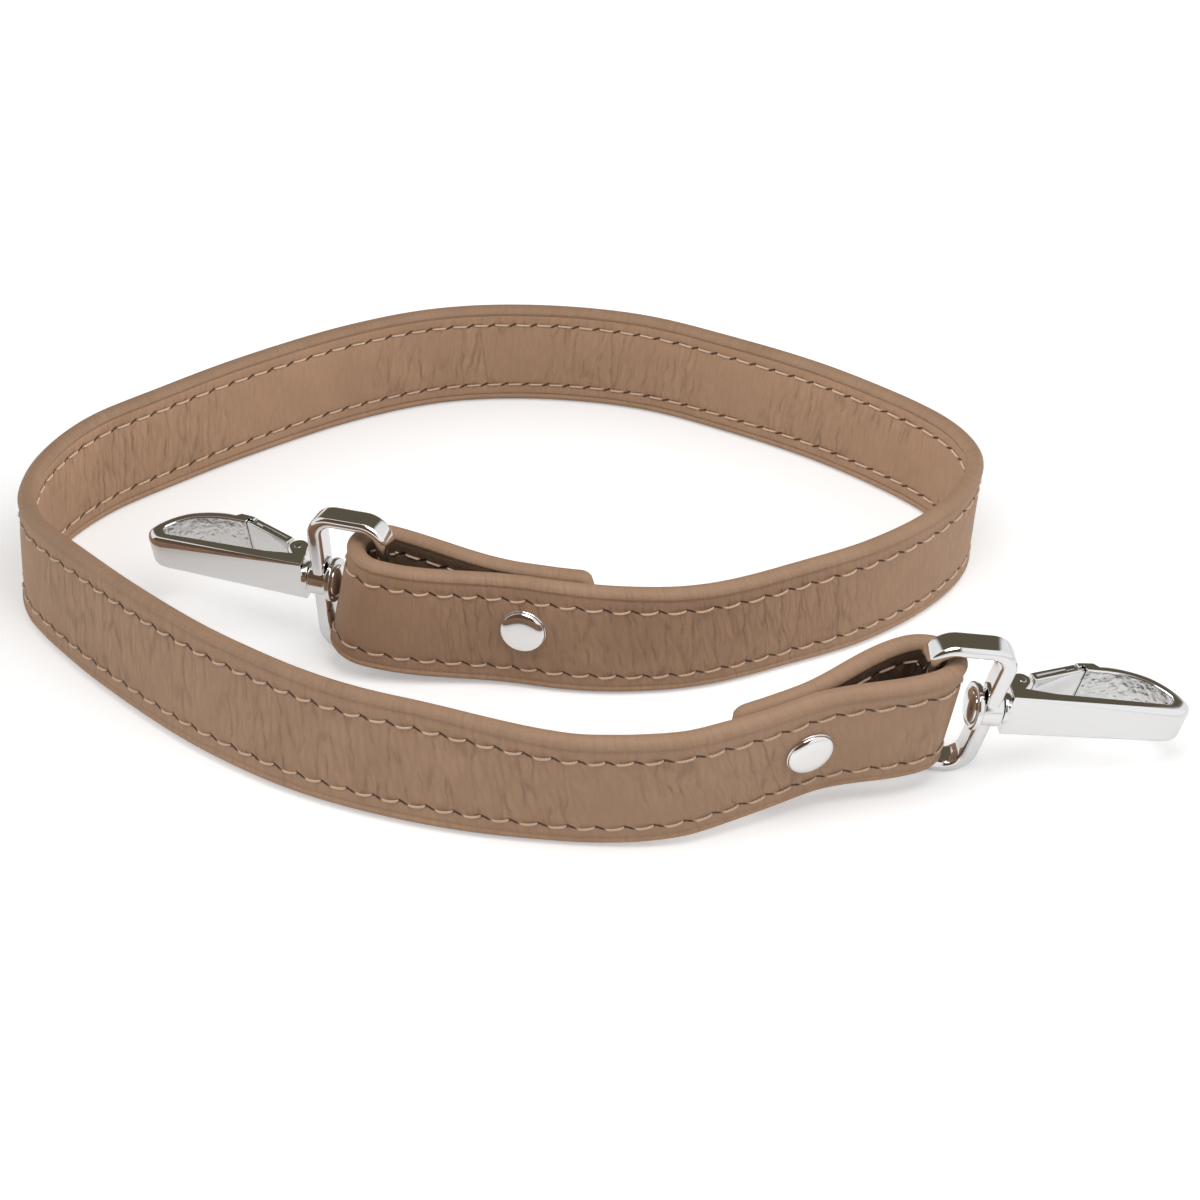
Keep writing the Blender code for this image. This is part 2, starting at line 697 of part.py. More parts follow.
def hook_outline():
    """Plan of a hook: flat front, round tip, nose down to the gate, eye, and the ears at the hinge."""
    nose_end = GATE_LENGTH + SEAT_GAP
    points = [from_front(0, 0)]
    points += [from_front(x * HOOK_LENGTH, y * HOOK_DEPTH) for x, y in HOOK_TIP_SHARES]
    points += [by_gate(nose_end, GATE_OUTSIDE), by_gate(nose_end, -GATE_INSIDE)]
    points += [from_front(x * HOOK_LENGTH, y * HOOK_DEPTH) for x, y in HOOK_EYE_SHARES]
    points.append(from_front(EYE_FLOOR_SHARE * HOOK_LENGTH, HOOK_WALL))
    points.append(from_front(GATE_HINGE_X + SHOULDER_REACH, HOOK_WALL))
    points += [HINGE.xy + spot for spot in arc(EAR_RADIUS, EAR_ARC_DEGREES, EAR_SIDES)]
    points.append(from_front(0, HOOK_BASE_DEPTH))
    return points


def across_hook(origin):
    """Frame whose X axis runs across the hook."""
    return frame(origin, UP, Vector((1, 0, 0)))


def add_hook(parent, end):
    """Hook body with its boss, the bore of the pin, the gate's fork and the lap in the nose."""
    body = add_piece(f"hook_body_{end}", plate(hook_outline(), hook_half_width, HOOK_BEVEL),
                     "chrome", parent)
    combine(body, "UNION", f"boss_{end}", rod(-BOSS_LENGTH, BOSS_ROOT, BOSS_DIAMETER, PIN_SIDES))
    bore = rod(-BOSS_LENGTH - CUT_OVERRUN, PIN_DEPTH + SEAT_GAP, PIN_DIAMETER + 2 * SEAT_GAP, HINGE_SIDES)
    combine(body, "DIFFERENCE", f"hub_bore_{end}", bore)
    reach = EAR_RADIUS + CUT_OVERRUN
    floor = arc(KNUCKLE_RADIUS + SEAT_GAP, SLOT_ARC_DEGREES, EAR_SIDES)
    slot = floor + [Vector((reach, floor[-1].y)), Vector((reach, reach)), Vector((-reach, reach)),
                    Vector((-reach, floor[0].y))]
    combine(body, "DIFFERENCE", f"fork_slot_{end}", prism(slot, -FORK_SLOT / 2, FORK_SLOT / 2),
            Matrix.Translation(HINGE))
    hole = rod(-HOOK_WIDTH, HOOK_WIDTH, GATE_PIN_DIAMETER + 2 * SEAT_GAP, HINGE_SIDES)
    combine(body, "DIFFERENCE", f"hinge_hole_{end}", hole, across_hook(HINGE))
    lap_end = GATE_LENGTH + GATE_LAP + SEAT_GAP
    lap_top = GATE_LIP - GATE_INSIDE + SEAT_GAP
    lap_bottom = -GATE_INSIDE - CUT_OVERRUN
    lap = [by_gate(GATE_LENGTH, lap_bottom), by_gate(lap_end, lap_bottom), by_gate(lap_end, lap_top),
           by_gate(GATE_LENGTH, lap_top)]
    combine(body, "DIFFERENCE", f"nose_lap_{end}", prism(lap, -HOOK_WIDTH, HOOK_WIDTH))


def add_gate(parent, end):
    """Gate plate with a lip that lies inside the nose, and an arm to its knuckle, on its hinge."""
    hinge = add_empty(f"gate_hinge_{end}", parent, GATE_FRAME)
    tip = GATE_LENGTH + GATE_LAP
    outline = [Vector(spot) for spot in (
        (GATE_START, -GATE_INSIDE), (tip, -GATE_INSIDE), (tip, GATE_LIP - GATE_INSIDE),
        (GATE_LENGTH, GATE_LIP - GATE_INSIDE), (GATE_LENGTH, GATE_OUTSIDE), (GATE_START, GATE_OUTSIDE))]
    gate = add_piece(f"gate_{end}", plate(outline, gate_half_width, GATE_BEVEL), "chrome", hinge)
    root = GATE_START + GATE_OUTSIDE
    arm = arc(KNUCKLE_RADIUS, ARM_ARC_DEGREES, HINGE_SIDES)
    arm += [Vector((root, GATE_BEVEL - GATE_INSIDE)), Vector((root, GATE_OUTSIDE - GATE_BEVEL))]
    high = FORK_SLOT / 2 - SEAT_GAP
    combine(gate, "UNION", f"gate_arm_{end}", prism(arm, high - KNUCKLE_WIDTH, high))
    hole = rod(-HOOK_WIDTH, HOOK_WIDTH, GATE_PIN_DIAMETER + 2 * SEAT_GAP, HINGE_SIDES)
    combine(gate, "DIFFERENCE", f"gate_hole_{end}", hole, across_hook(Vector()))
    half = hook_half_width(GATE_HINGE_X)
    add_piece(f"gate_pin_{end}", rod(-half, half, GATE_PIN_DIAMETER, HINGE_SIDES), "steel", hinge,
              across_hook(Vector()))
    add_spring(hinge, end)


def add_spring(parent, end):
    """Torsion spring beside the knuckle, with one leg under the gate."""
    radius = GATE_PIN_DIAMETER / 2 + SEAT_GAP + SPRING_WIRE / 2
    low = SEAT_GAP + SPRING_WIRE / 2 - FORK_SLOT / 2
    count = SPRING_TURNS * SPRING_SIDES
    points = []
    for i in range(count + 1):
        angle = 2 * pi * i / SPRING_SIDES - pi / 2
        height = low + SPRING_PITCH * i / SPRING_SIDES
        points.append(Vector((radius * cos(angle), radius * sin(angle), height)))
    points.append(points[-1] + Vector((SPRING_LEG, 0, 0)))
    curve = bpy.data.curves.new(f"gate_spring_{end}", "CURVE")
    curve.dimensions = "3D"
    curve.bevel_depth = SPRING_WIRE / 2
    curve.bevel_resolution = 0
    curve.use_fill_caps = True
    spline = curve.splines.new("POLY")
    spline.points.add(len(points) - 1)
    for spot, point in zip(spline.points, points):
        spot.co = (*point, 1)
    curve.materials.append(material("steel"))
    place(bpy.data.objects.new(f"gate_spring_{end}", curve), parent, Matrix())


def add_hardware(assembly, fold):
    """Ring, swivel pin, hook and gate of one end, each on the empty it turns about."""
    end = ENDS[fold.end]
    swing = add_ring(assembly, fold)
    base = RING_BAR / 2 + RING_WINDOW + RING_HUB_BAR + HUB_REACH + SEAT_GAP + BOSS_LENGTH
    roll = radians(RING_LEAN_DEGREES[fold.end] - HOOK_LEAN_DEGREES[fold.end])
    if fold.end == 0:
        roll = -roll
    placement = Matrix.Translation((base, 0, 0)) @ Matrix.Rotation(roll, 4, "X")
    swivel = add_empty(f"hook_swivel_{end}", swing, placement)
    add_piece(f"swivel_pin_{end}", pin_solid(), "steel", swivel)
    add_hook(swivel, end)
    add_gate(swivel, end)


def stand_on_origin(assembly):
    """Moves the assembly so that the origin is the middle of the underside of its box."""
    bpy.context.view_layer.update()
    corners = []
    for piece in bpy.data.objects:
        if piece.type == "MESH" and not piece.hide_render:
            corners += [piece.matrix_world @ vertex.co for vertex in piece.data.vertices]
    low = [min(corner[axis] for corner in corners) for axis in range(3)]
    high = [max(corner[axis] for corner in corners) for axis in range(3)]
    assembly.location = (-(low[0] + high[0]) / 2, -(low[1] + high[1]) / 2, -low[2])
    bpy.context.view_layer.update()


def main():
    for existing in list(bpy.data.objects):
        bpy.data.objects.remove(existing, do_unlink=True)
    assembly = add_empty("bag_strap", None)
    run = main_run()
    folds = [Fold(end, run) for end in (0, 1)]
    add_strap(assembly, strap_stations(run, folds), folds)
    for fold in folds:
        add_rivet(assembly, fold)
        add_hardware(assembly, fold)
    stand_on_origin(assembly)


main()
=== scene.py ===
"""Looks of the detachable bag strap: grained leather, separate stitches and polished chrome.

Lengths are in metres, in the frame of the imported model.  The strap's route, folds and sections repeat
the model's own driving sizes with finer steps, and the hardware is placed by the model's joints.
Every shade is procedural: the leather and the thread use a surface map that the meshes carry.
"""
import json
from math import atan2, ceil, cos, hypot, pi, radians, sin, sqrt, tan

import bmesh
import bpy
import numpy as np
from mathutils import Matrix, Vector, noise


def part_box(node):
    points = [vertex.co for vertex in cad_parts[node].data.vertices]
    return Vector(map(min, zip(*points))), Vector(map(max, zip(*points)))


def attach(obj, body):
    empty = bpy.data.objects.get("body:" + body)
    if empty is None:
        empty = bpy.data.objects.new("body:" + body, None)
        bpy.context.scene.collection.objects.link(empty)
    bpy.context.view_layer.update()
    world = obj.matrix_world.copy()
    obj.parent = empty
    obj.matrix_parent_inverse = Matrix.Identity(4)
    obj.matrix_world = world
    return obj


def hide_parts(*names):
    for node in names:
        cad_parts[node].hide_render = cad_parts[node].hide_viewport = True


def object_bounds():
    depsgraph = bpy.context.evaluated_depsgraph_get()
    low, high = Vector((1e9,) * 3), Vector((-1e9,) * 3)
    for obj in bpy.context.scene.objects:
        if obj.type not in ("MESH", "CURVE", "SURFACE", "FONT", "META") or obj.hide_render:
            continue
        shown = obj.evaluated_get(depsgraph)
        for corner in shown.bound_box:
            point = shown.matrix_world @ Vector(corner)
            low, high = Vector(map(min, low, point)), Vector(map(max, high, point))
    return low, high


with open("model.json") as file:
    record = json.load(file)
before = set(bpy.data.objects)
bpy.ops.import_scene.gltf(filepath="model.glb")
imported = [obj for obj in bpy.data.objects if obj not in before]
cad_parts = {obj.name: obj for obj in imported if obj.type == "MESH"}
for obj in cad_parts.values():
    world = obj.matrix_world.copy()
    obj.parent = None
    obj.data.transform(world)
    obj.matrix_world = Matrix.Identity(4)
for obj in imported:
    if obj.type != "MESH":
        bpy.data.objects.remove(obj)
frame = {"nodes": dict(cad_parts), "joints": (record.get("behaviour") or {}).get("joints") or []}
CAD_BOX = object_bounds()

MM = 0.001
UP = Vector((0, 0, 1))
ENDS = ("left", "right")

# Strap
STRAP_WIDTH = 20.0 * MM
STRAP_THICKNESS = 3.2 * MM
EDGE_RADIUS = STRAP_THICKNESS / 2
PLY_GAP = 0.3 * MM
LAYER_SPACING = STRAP_THICKNESS + PLY_GAP
TAIL_LENGTH = (11.0 * MM, 9.2 * MM)
TAIL_CORNER = 2.2 * MM
TAIL_SOFTNESS = 0.7 * MM
SEAM_HEIGHT = 6.4 * MM
SKIN_STEP = 0.5 * MM
SPLINE_SAMPLES = 40
FOLD_STEPS = 36
ROUND_STEPS = 40

# Lie of the strap
LOOP_WIDTH = 160.0 * MM
LOOP_DEPTH = 128.0 * MM
ROUTE_STEP = 6.2 * MM
ROUTE_SHARES = (
    (0.530, 0.286), (0.593, 0.273), (0.663, 0.275), (0.722, 0.291), (0.793, 0.328), (0.868, 0.373),
    (0.940, 0.443), (0.986, 0.520), (0.997, 0.600), (0.963, 0.690), (0.868, 0.806), (0.760, 0.898),
    (0.652, 0.968), (0.528, 0.998), (0.412, 0.987), (0.308, 0.932), (0.208, 0.846), (0.121, 0.756),
    (0.044, 0.660), (0.004, 0.548), (0.015, 0.438), (0.070, 0.345), (0.152, 0.244), (0.242, 0.152),
    (0.341, 0.079), (0.460, 0.027), (0.577, 0.003), (0.668, 0.001), (0.735, 0.028), (0.788, 0.055),
)
LEAN_DEGREES = (1.5, -5, -3, -1, 0, 0, -1, -1, -1, 1, 7, 13, 13, 9, -4, -9)
FOLD_LENGTH = (32.0 * MM, 23.5 * MM)
FOLD_OPENING = (13.2 * MM, 12.4 * MM)
FOLD_DROP = (0.0 * MM, 1.5 * MM)
END_LIFT = (3.95 * MM, 4.0 * MM)
END_RAKE_DEGREES = (-14.0, 3.0)
LIFT_REACH = (40.0 * MM, 60.0 * MM)

# Leather surface, with heights counted from the middle of the strap
FACE = 1.30 * MM
SEAM_DIP = 0.16 * MM
SEAM_DIP_WIDTH = 0.75 * MM
CREASE_HEIGHT = 8.5 * MM
CREASE_WIDTH = 0.30 * MM
CREASE_DEPTH = 0.11 * MM
BEAD_CENTRE = STRAP_WIDTH / 2 - EDGE_RADIUS
LINING_HALF = 8.35 * MM
LINING_BACK = 0.70 * MM
LINING_GAP = 0.02 * MM
LINING_LIFT = 0.05 * MM
WRINKLE_DEPTH = 0.07 * MM
SWELL_DEPTH = 0.10 * MM

# Leather shading, in millimetres on the surface map.  Runs along the strap are (middle, reach), those with
# creases also have a level, where a negative one keeps a run smooth.  Creases are (width, height, wander,
# thickness as a share of a width).  Spots beside a hole are (along, over, turn, length, width).
LEATHER_COLORS = ((0.315, 0.189, 0.113), (0.425, 0.262, 0.162))
# Lining colours a little lighter than the outer leather's: painted light on the inner face that shows at the
# back of the loop.
LIT_LINING_COLORS = ((0.325, 0.194, 0.116), (0.440, 0.270, 0.166))
# Painted shade: a dark brown mixed into the creases, where shadow falls.
CREASE_SHADOW_COLOR = (0.100, 0.052, 0.030)
# Painted shade: a dark brown in the stitch holes and slits.
HOLE_SHADOW_COLOR = (0.055, 0.028, 0.016)
# Painted shade: the upper bead darkened against the light from above.
BEAD_SHADE = 0.85
# Painted shade: the lining darkened inside the folds, where shadow falls.
FOLD_SHADE = 0.40
FOLD_SHADOWS = ((44.0, 38.0), (556.0, 32.0))
CREASED_RUNS = ((95.0, 42.0, 1.0), (46.0, 22.0, -1.0), (470.0, 34.0, 1.0))
DEEP_CREASES = (2.5, 17.0, 1.5, 0.12)
FINE_CREASES = (1.25, 5.2, 1.1, 0.30)
CREASE_SLANT = 0.12
SURFACE_WRAP = 20.0
LEATHER_RELIEF = 0.17 * MM
LEATHER_GLOSS = (0.48, 0.66)
LEATHER_SHEEN = 0.40

# Stitches
STITCH_PITCH = 4.1 * MM
STITCH_ROWS = ((1, 0.15), (-1, 0.62))
THREAD_RADIUS = 0.19 * MM
THREAD_START = 1.35 * MM
THREAD_END = 0.10 * MM
THREAD_STEPS = 12
THREAD_SIDES = 10
THREAD_TWISTS = 5.0
THREAD_PLY_DEPTH = 0.06 * MM
# Painted shade and highlight on the thread: darker in the grooves between the plies, lighter on their crests.
THREAD_SHADOW_AND_LIGHT_COLORS = ((0.38, 0.235, 0.155), (0.69, 0.50, 0.365))
HOLE_SPOT = (-0.02, 0.12, 0.0, 0.42, 0.32)
SLIT_SPOT = (0.62, -0.10, 0.45, 0.90, 0.22)
PRESSED_SPOT = (-STITCH_PITCH / MM / 2, -0.1, 0.0, 2.1, 0.55)

# Rivets
CAP_DIAMETER = 7.5 * MM
CAP_RIM = 0.35 * MM
CAP_DOME = 0.95 * MM
CAP_FULLNESS = 4.5
STUD_DIAMETER = 7.0 * MM
STUD_DOME = 0.6 * MM
RIVET_SEAT = 1.40 * MM
HEAD_INSET = 0.12 * MM
HEAD_TUCK = 0.15 * MM
HEAD_FOOT = 0.5 * MM
RIVET_RISE = (1.0 * MM, 0.2 * MM)

# Rings
RING_PLAY = 2.6 * MM
RING_BAR = 1.9 * MM
RING_HUB_BAR = 2.4 * MM
HUB_DIAMETER = 5.6 * MM
HUB_REACH = 0.6 * MM
RING_WINDOW = 9.2 * MM
RING_DEPTH = 4.1 * MM
RING_CORNER = 4.2 * MM
RING_BEVEL = 0.85 * MM
HUB_BEVEL = 0.35 * MM

# Swivel pins, hooks and gates
SEAT_GAP = 0.3 * MM
PIN_COLLAR = 7.2 * MM
PIN_COLLAR_THICKNESS = 0.9 * MM
PIN_DOME = 5.2 * MM
PIN_DOME_HEIGHT = 0.7 * MM
PIN_SHANK = 2.0 * MM
BOSS_DIAMETER = 4.6 * MM
BOSS_LENGTH = 0.6 * MM
HOOK_LENGTH = 28.3 * MM
HOOK_DEPTH = 9.5 * MM
HOOK_WIDTH = 7.6 * MM
HOOK_TIP_WIDTH = 6.6 * MM
HOOK_WALL = 2.0 * MM
HOOK_FACE_SETBACK = 1.8 * MM
HOOK_OUTER_BEVEL = 1.40 * MM
HOOK_EYE_BEVEL = 0.35 * MM
HOOK_EAR_BEVEL = 0.80 * MM
NOSE_GAP = 0.12 * MM
GROOVE_WIDTH = 0.45 * MM
GROOVE_DEPTH = 0.7 * MM
HOOK_BASE_DEPTH = 2.5 * MM
SHOULDER_REACH = 4.8 * MM
HOOK_TIP_SHARES = (
    (0.887, 0.000), (0.940, 0.032), (0.977, 0.116), (0.998, 0.253), (0.978, 0.421), (0.936, 0.589),
    (0.887, 0.726), (0.827, 0.842), (0.752, 0.926), (0.662, 0.984), (0.571, 1.000), (0.455, 0.970),
)
HOOK_EYE_SHARES = (
    (0.579, 0.792), (0.654, 0.774), (0.726, 0.726), (0.789, 0.653), (0.842, 0.547), (0.880, 0.442),
    (0.902, 0.347), (0.898, 0.263),
)
EYE_FLOOR_SHARE = 0.872
EYE_LIMIT_SHARE = 0.93
GATE_END_SHARES = (0.425, 0.817)
GATE_HINGE_X = 2.2 * MM
GATE_HINGE_DEPTH = 4.1 * MM
GATE_OUTSIDE = 1.3 * MM
GATE_INSIDE = 0.35 * MM
GATE_LIP = 0.65 * MM
GATE_LAP = 1.0 * MM
GATE_START = 2.3 * MM
GATE_BEVEL = 0.25 * MM
GATE_SIDE_INSET = 0.3 * MM
EAR_RADIUS = 1.85 * MM
EAR_ARC_DEGREES = (-55.0, 172.0)
FORK_SLOT = 5.0 * MM
KNUCKLE_RADIUS = 1.2 * MM
KNUCKLE_WIDTH = 2.3 * MM
GATE_PIN_DIAMETER = 1.0 * MM
GATE_RUN = GATE_END_SHARES[0] * HOOK_LENGTH - GATE_HINGE_X
GATE_CLIMB = GATE_END_SHARES[1] * HOOK_DEPTH - GATE_HINGE_DEPTH
GATE_LENGTH = hypot(GATE_RUN, GATE_CLIMB)
GATE_RISE = atan2(GATE_CLIMB, GATE_RUN)

# Metal and core: colours, and (lowest, highest) roughness
CHROME_COLOR = (0.85, 0.85, 0.85)
CHROME_GLOSS = (0.03, 0.09)
CHROME_WAVE = 0.004 * MM
CAST_COLOR = (0.78, 0.78, 0.77)
CAST_GLOSS = (0.05, 0.18)
CAST_WAVE = 0.95 * MM
CAST_SCALE = 850.0
STEEL_COLOR = (0.62, 0.62, 0.62)
STEEL_GLOSS = (0.16, 0.30)
STEEL_WAVE = 0.003 * MM
WAVE_SCALE = 260.0
SMEAR_SCALE = 420.0
CORE_COLORS = ((0.36, 0.32, 0.26), (0.62, 0.57, 0.48))
CORE_SCALE = 900.0

# Camera, floor and light.  The mirrored room's limits are shares of a direction: x across, y ahead, z up.
CAMERA_PLACE = (0.00543, -0.26430, 0.18647)
CAMERA_TILT_DEGREES = 54.37
CAMERA_LENS = 57.0
CAMERA_SENSOR = 36.0
FLOOR_SIZE = 6.0
FLOOR_GAP = 0.02 * MM
FLOOR_NEAR = 0.08
FLOOR_FAR = 0.24
FLOOR_SHADE = 0.80
FLOOR_GLOW = 0.34
FAR_GLOW = 0.25
MIRRORED_GLOW = 0.10
SKY_LEVEL = 0.130
SKY_SIDES = 2.45
SKY_COLOR = (1.0, 0.995, 0.985)
ROOM_COLOR = (0.95, 0.95, 0.95)
NEAR_WALL_COLOR = (0.110, 0.066, 0.040)
FAR_WALL_COLOR = (0.110, 0.094, 0.064)
WALL_FOOT = (0.04, 0.16)
WALL_TOP = (0.965, 0.99)
FAR_WALL_SIDES = (0.54, 0.68)
FAR_WALL_REST = 0.12
NEAR_WALL_SIDE = (0.30, 0.48)
CEILING_STRIP = (0.05, 0.11)
LAMP_PLACE = (0.03, -0.07, 0.17)
LAMP_TARGET = (0.01, 0.09, 0.0)
LAMP_SIZE = 0.14
LAMP_POWER = 0.185


# Materials

class Nodes:
    """Adds and joins the nodes of one shader tree."""

    def __init__(self, tree):
        self.tree = tree

    def add(self, kind, inputs=(), **settings):
        """New node; an input is a value or the output that feeds it."""
        node = self.tree.nodes.new(kind)
        for key, value in settings.items():
            setattr(node, key, value)
        for socket, value in dict(inputs).items():
            if isinstance(value, bpy.types.NodeSocket):
                self.tree.links.new(value, node.inputs[socket])
            else:
                node.inputs[socket].default_value = value
        return node

    def feed(self, shader, **outputs):
        for socket, output in outputs.items():
            self.tree.links.new(output, shader.inputs[socket.replace("_", " ")])

    def calc(self, operation, *values):
        return self.add("ShaderNodeMath", dict(enumerate(values)), operation=operation).outputs[0]

    def plus(self, first, *others):
        for other in others:
            first = self.calc("ADD", first, other)
        return first

    def minus(self, first, *others):
        for other in others:
            first = self.calc("SUBTRACT", first, other)
        return first

    def times(self, first, *others):
        for other in others:
            first = self.calc("MULTIPLY", first, other)
        return first

    def spread(self, value, start, stop, low=0.0, high=1.0, kind="LINEAR"):
        return self.add("ShaderNodeMapRange", {"Value": value, "From Min": start, "From Max": stop,
                                               "To Min": low, "To Max": high},
                        interpolation_type=kind).outputs[0]

    def fade(self, value, start, stop, low=0.0, high=1.0):
        return self.spread(value, start, stop, low, high, "SMOOTHSTEP")

    def mix(self, share, first, second):
        """Mix of two colours, each given as three numbers or as an output."""
        first, second = (color if isinstance(color, bpy.types.NodeSocket) else (*color, 1)
                         for color in (first, second))
        return self.add("ShaderNodeMix", {0: share, 6: first, 7: second}, data_type="RGBA").outputs[2]

    def noise(self, place, scale, detail=2.0, roughness=0.5, flat=False):
        node = self.add("ShaderNodeTexNoise", {"Vector": place, "Scale": scale, "Detail": detail,
                                               "Roughness": roughness},
                        noise_dimensions="2D" if flat else "3D")
        return node.outputs[0]


def new_material(name):
    """A material with its shader and the tools for its nodes."""
    made = bpy.data.materials.new(name)
    made.use_nodes = True
    return made, made.node_tree.nodes["Principled BSDF"], Nodes(made.node_tree)


class LeatherMap:
    """Patterns of the leather over the surface map: u along the strap and v over its middle."""

    def __init__(self, nodes):
        self.nodes = nodes
        self.place = nodes.add("ShaderNodeUVMap", uv_map="surface").outputs[0]
        self.along, self.rise, _ = nodes.add("ShaderNodeSeparateXYZ", {0: self.place}).outputs
        self.height = nodes.calc("WRAP", self.rise, SURFACE_WRAP, -SURFACE_WRAP)
        self.high = nodes.calc("ABSOLUTE", self.height)

    def noise(self, scale, detail=2.0, roughness=0.5):
        return self.nodes.noise(self.place, scale, detail, roughness, flat=True)

    def reach(self, middle):
        return self.nodes.calc("ABSOLUTE", self.nodes.minus(self.along, middle))

    def creases(self, width, tall, wander, thickness):
        """Creases that run across the strap, and the soft swelling of the leather between them."""
        nodes = self.nodes
        bend = nodes.times(nodes.minus(self.noise(0.28, 3.0), 0.5), wander)
        sideways = nodes.plus(self.along, bend, nodes.times(self.height, CREASE_SLANT))
        cell = nodes.add("ShaderNodeCombineXYZ", {0: nodes.calc("DIVIDE", sideways, width),
                                                  1: nodes.calc("DIVIDE", self.rise, tall)})
        net = nodes.add("ShaderNodeTexVoronoi", {"Vector": cell.outputs[0], "Scale": 1.0, "Randomness": 1.0},
                        voronoi_dimensions="2D", feature="DISTANCE_TO_EDGE")
        edge = net.outputs["Distance"]
        return nodes.fade(edge, 0.0, thickness, 1.0, 0.0), nodes.fade(edge, 0.0, 0.42)

    def creased(self):
        """How strongly each place is creased: in patches and in some runs, less towards the beads."""
        nodes = self.nodes
        strength = nodes.fade(self.noise(0.030), 0.42, 0.56, 0.12, 1.0)
        for middle, length, level in CREASED_RUNS:
            reach = self.reach(middle)
            if level < 0:
                strength = nodes.times(strength, nodes.fade(reach, 0.6 * length, length))
            else:
                run = nodes.fade(reach, 0.6 * length, length, level, 0.0)
                strength = nodes.calc("MAXIMUM", strength, run)
        return nodes.times(strength, nodes.fade(self.high, 6.2, 7.6, 1.0, 0.35))

    def folds(self):
        slanted = self.nodes.plus(self.along, self.nodes.times(self.height, 0.2))
        place = self.nodes.add("ShaderNodeCombineXYZ", {0: slanted, 1: self.nodes.times(self.height, 0.14)})
        return self.nodes.noise(place.outputs[0], 0.75, 3.0, 0.55, flat=True)

    def stitch_marks(self):
        """The holes and slits of the seams, which get painted shade, and the leather that the stitches press
        in.
        """
        nodes = self.nodes
        pitch = STITCH_PITCH / MM
        (_, upper_phase), (_, lower_phase) = STITCH_ROWS
        upper = nodes.calc("GREATER_THAN", self.height, 0.0)
        side = nodes.minus(nodes.times(upper, 2.0), 1.0)
        over = nodes.times(nodes.minus(self.high, SEAM_HEIGHT / MM), side)
        phase = nodes.plus(nodes.times(upper, upper_phase - lower_phase), lower_phase)
        turn = nodes.plus(nodes.minus(nodes.calc("DIVIDE", self.along, pitch), phase), 0.5)
        beside = nodes.times(nodes.minus(nodes.calc("FRACT", turn), 0.5), pitch)

        def spot(middle, rise, turned_by, length, width):
            a = nodes.minus(beside, middle)
            b = nodes.minus(over, rise)
            run = nodes.minus(nodes.times(a, cos(turned_by)), nodes.times(b, sin(turned_by)))
            across = nodes.plus(nodes.times(a, sin(turned_by)), nodes.times(b, cos(turned_by)))
            reach = nodes.plus(nodes.calc("POWER", nodes.calc("DIVIDE", run, length), 2.0),
                               nodes.calc("POWER", nodes.calc("DIVIDE", across, width), 2.0))
            return nodes.fade(reach, 0.15, 1.1, 1.0, 0.0)

        return nodes.calc("MAXIMUM", spot(*HOLE_SPOT), spot(*SLIT_SPOT)), spot(*PRESSED_SPOT)

    def bead_and_fold_shade(self, shadows):
        """Painted shade: darkening of the upper bead, against the light from above, and of the runs inside
        the folds, where shadow falls.
        """
        edge = CREASE_HEIGHT / MM
        painted_shading = self.nodes.fade(self.height, edge, edge + 0.8, 1.0, BEAD_SHADE)
        for middle, length in shadows:
            shadow = self.nodes.fade(self.reach(middle), 0.7 * length, length, FOLD_SHADE, 1.0)
            painted_shading = self.nodes.times(painted_shading, shadow)
        return painted_shading


def leather_material(name, colors, shadows=()):
    """Grained leather with creases, pores and marks round the stitches, with painted shade in the creases,
    the fold hollows, the stitch holes, the upper bead and the given shadow runs.
    """
    made, shader, nodes = new_material(name)
    skin = LeatherMap(nodes)
    plus, minus, times = nodes.plus, nodes.minus, nodes.times
    strength = skin.creased()
    deep, puff = skin.creases(*DEEP_CREASES)
    deep = times(deep, strength, nodes.fade(skin.noise(0.22), 0.40, 0.58, 0.15, 1.0))
    fine, _ = skin.creases(*FINE_CREASES)
    fine = times(fine, plus(times(strength, 0.55), 0.45))
    pores = skin.noise(4.2, 4.0, 0.7)
    folds = skin.folds()
    pierced, pressed = skin.stitch_marks()

    shade = plus(times(minus(skin.noise(0.12, 3.0), 0.5), 0.75), times(minus(pores, 0.5), 0.80))
    # Painted shade and highlight: the colour follows the folds' relief, darker in their hollows and lighter
    # on their ridges.
    shade = plus(shade, times(minus(folds, 0.5), times(strength, 0.7)))
    base = nodes.mix(nodes.spread(shade, -0.5, 0.5), *colors)
    # Painted shade: dark brown mixed into the creases.
    crease_shadowed = nodes.mix(plus(times(deep, 0.25), times(fine, 0.10)), base, CREASE_SHADOW_COLOR)
    # Painted shade: dark brown in the stitch holes and slits.
    hole_shadowed = nodes.mix(pierced, crease_shadowed, HOLE_SHADOW_COLOR)
    # Painted shade on the upper bead and in the given shadow runs inside the folds.
    painted_shading = nodes.add("ShaderNodeVectorMath", {0: hole_shadowed, "Scale": skin.bead_and_fold_shade(shadows)}, operation="SCALE")

    relief = plus(times(pores, 0.45), times(folds, strength, 0.9), times(puff, strength, 0.9))
    relief = minus(relief, times(deep, 0.65), times(fine, 0.55), times(pierced, 1.6), times(pressed, 0.5))
    bump = nodes.add("ShaderNodeBump", {"Height": relief, "Strength": 0.8, "Distance": LEATHER_RELIEF})
    nodes.feed(shader, Base_Color=painted_shading.outputs[0], Normal=bump.outputs[0],
               Roughness=nodes.spread(pores, 0.3, 0.7, *LEATHER_GLOSS))
    shader.inputs["Specular IOR Level"].default_value = LEATHER_SHEEN
    return made


